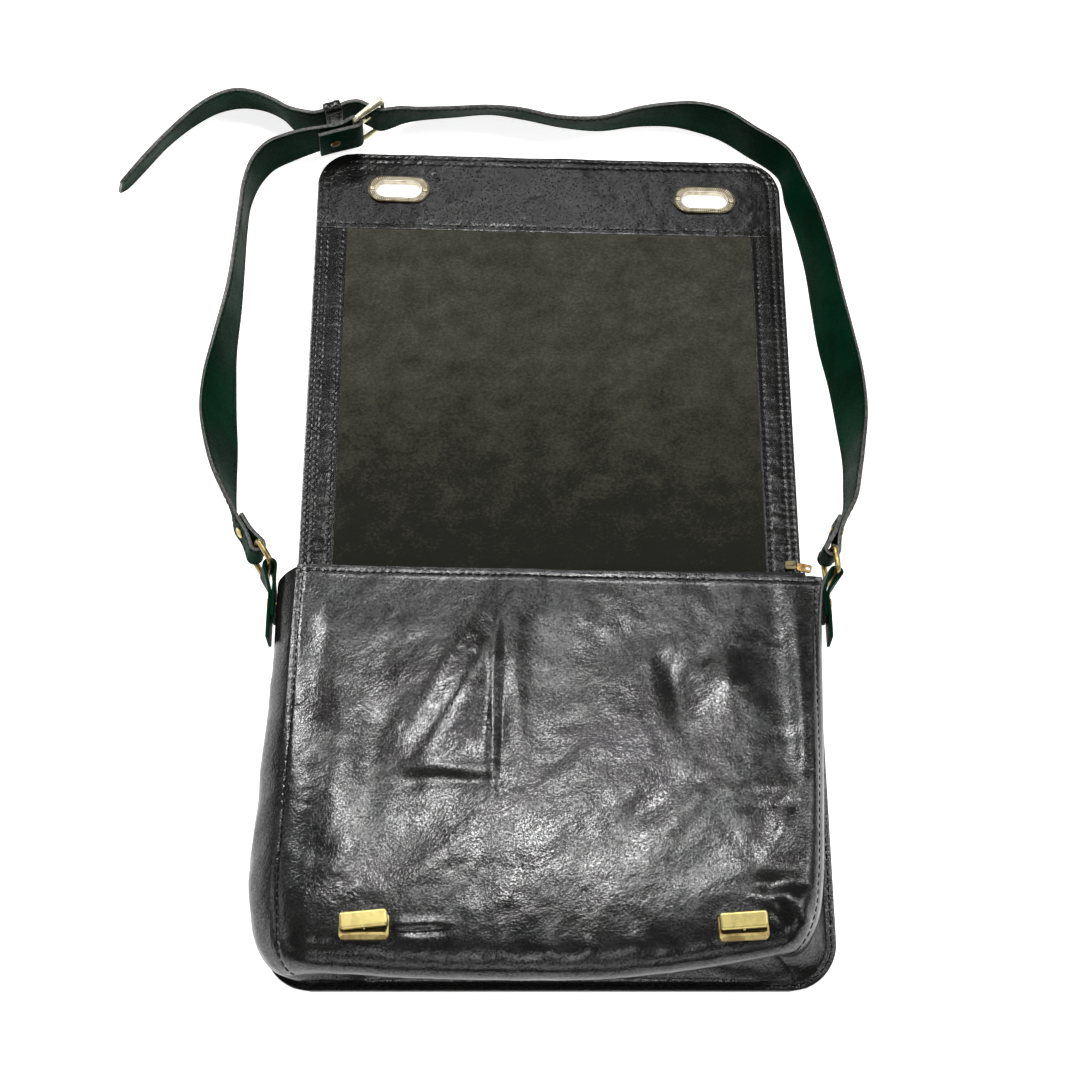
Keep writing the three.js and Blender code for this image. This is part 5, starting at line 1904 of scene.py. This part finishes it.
@dataclass
class ZipEnd:
    """End of the zip at the right of the mouth: tape, slider and pull. Sizes in mm."""

    front: FrontPanel
    tape_wall: float = 1.2
    tape_span: tuple[float, float] = (0.05, 0.945)
    tape_under: float = -14.0
    tape_out: tuple[float, float] = (1.5, 7.5)
    slider_at: tuple[float, float, float] = (166.5, 148.4, 24.6)
    pull_at: tuple[float, float, float] = (176.1, 147.6, 24.6)
    pull_turn: float = -12.0

    def tape(self, u: np.ndarray, v: np.ndarray) -> np.ndarray:
        """Middle of the tape's wall: u along the mouth, v out of it."""
        start, end = self.tape_span
        across = start + (end - start) * u
        ones = np.ones_like(across)
        edge = self.front.surface(across, ones)
        outward = edge - self.front.surface(across, ones - self.front.mouth_hem)
        outward[:, 0] = 0
        outward /= np.linalg.norm(outward, axis=1)[:, None]
        out = smoothstep(across, 0.45, 1)
        least, most = self.tape_out
        reach = self.tape_under + (least + (most - least) * out - self.tape_under) * v
        sag = self.front.wall / 2 + 0.7 + self.tape_wall / 2 + 8 * out * v**2
        return edge + outward * (reach * MM)[:, None] - np.outer(sag * MM, (0, 0, 1))

    def build(self, finishes: Finishes) -> None:
        """Makes the three pieces."""
        looks = finishes.tape, finishes.tape
        soft_piece("tape_cloth", self.tape, (160, 16), looks, (self.tape_wall, 0.3), ("tape", "zip_tape"))
        slider = rounded_block("slider_body", (8, 7, 4.5), 1.8, 0.7)
        bridge = rounded_block("slider_bridge", (6, 1.6, 1.4), 0.7, 0.4)
        shift(bridge, 0, 0, 3.4)
        join(slider, bridge)
        shift(slider, *self.slider_at)
        dress(slider, finishes.dark_brass)
        hand_over(slider, "brass", "zip_slider")
        pull = rounded_block("pull_plate", (10.5, 6, 1.4), 1.6, 0.3)
        eye = rounded_block("pull_eye", (3, 2.6, 6), 1.2)
        shift(eye, 2.6, 0, -2)
        cut_away(pull, eye)
        shift(pull, *self.pull_at, math.radians(self.pull_turn))
        dress(pull, finishes.tan_brass)
        hand_over(pull, "brass_tan", "zip_pull")


# Camera, light and floor


class Lamp(NamedTuple):
    """A soft rectangular light: its place and size in metres and its power in watts."""

    name: str
    at: tuple[float, float, float]
    size: tuple[float, float]
    power: float


LAMPS = [
    Lamp("window", (0.0, 0.92, 2.1), (0.4, 0.3), 18),
    Lamp("left_window", (-1.1, 1.3, 1.45), (0.4, 0.4), 22),
    Lamp("far_window", (0.0, 1.9, 2.0), (0.7, 0.14), 4),
    Lamp("near_window", (0.0, -0.95, 2.0), (0.5, 0.2), 4),
    Lamp("right_window", (0.9, 0.6, 1.95), (0.3, 0.3), 6),
    Lamp("right_edge", (1.6, 0.5, 1.5), (0.4, 0.8), 9),
    Lamp("left_wall", (-2.0, 0.0, 1.1), (1.6, 0.8), 6),
    Lamp("right_wall", (2.0, 0.2, 1.1), (1.6, 0.8), 4),
    Lamp("near_wall", (0.0, -2.0, 1.3), (1.6, 0.8), 8),
]


@dataclass
class Studio:
    """White table under soft light, seen from above the viewer's side."""

    camera_at: tuple[float, float, float] = (-0.0065, -0.4312, 1.3422)
    camera_tilt: float = 24.5
    lens: float = 69.33
    sky: float = 0.09
    aim_at: tuple[float, float, float] = (0.0, 0.05, 0.05)

    def build(self) -> None:
        """Sets the camera, the lights and the floor."""
        scene = bpy.context.scene
        scene.view_settings.view_transform = "Standard"
        data = bpy.data.cameras.new("camera")
        data.lens = self.lens
        data.sensor_width = 36
        camera = bpy.data.objects.new("camera", data)
        camera.location = self.camera_at
        camera.rotation_euler = (math.radians(self.camera_tilt), 0, 0)
        scene.collection.objects.link(camera)
        scene.camera = camera

        world = bpy.data.worlds.new("studio")
        world.use_nodes = True
        background = world.node_tree.nodes["Background"]
        background.inputs["Color"].default_value = (1, 1, 1, 1)
        background.inputs["Strength"].default_value = self.sky
        scene.world = world
        for lamp in LAMPS:
            self.hang(lamp)

        bpy.ops.mesh.primitive_plane_add(size=40)
        floor = new_piece("floor")
        look = Shader("floor_paper")
        pale = look.ramp(look.noise(3, 2), (0.3, (0.93, 0.93, 0.93)), (0.7, (0.96, 0.96, 0.96)))
        look.set(Base_Color=pale, Roughness=0.9, Specular_IOR_Level=0.1)
        look.set(Emission_Color=(1, 1, 1, 1), Emission_Strength=0.75)
        dress(floor, look.material)
        floor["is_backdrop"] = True

    def hang(self, lamp: Lamp) -> None:
        """Adds one light that looks at the middle of the bag."""
        data = bpy.data.lights.new(lamp.name, "AREA")
        data.shape = "RECTANGLE"
        data.size, data.size_y = lamp.size
        data.energy = lamp.power
        obj = bpy.data.objects.new(lamp.name, data)
        obj.location = lamp.at
        obj.rotation_euler = (Vector(self.aim_at) - Vector(lamp.at)).to_track_quat("-Z", "Y").to_euler()
        bpy.context.scene.collection.objects.link(obj)


def write_sizes() -> None:
    """Works out the model's box before and after the pieces were made, and keeps the numbers nowhere."""
    for name, box in (("cad", CAD_BOX), ("scene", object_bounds())):
        [[float(value) for value in corner] for corner in box]


def main() -> None:
    """Builds the bag's looks on the frame."""
    logging.basicConfig(level=logging.INFO, format="%(message)s")
    Studio().build()
    finishes = Finishes()
    front = FrontPanel()
    front.build(finishes)
    Gusset(front).build(finishes)
    Flap().build(finishes)
    ZipEnd(front).build(finishes)
    folds = {}
    for side in Side:
        TurnLock(side).build(finishes)
        SlotPlate(side).build(finishes)
        ring = Ring(side)
        ring.build(finishes)
        SideTab(ring).build(finishes)
        folds[side] = StrapFold(ring)
        folds[side].build_rivet(finishes)
    buckle = Buckle()
    buckle.build(finishes)
    Strap(folds, buckle).build(finishes)
    write_sizes()


if __name__ == "__main__":
    main()
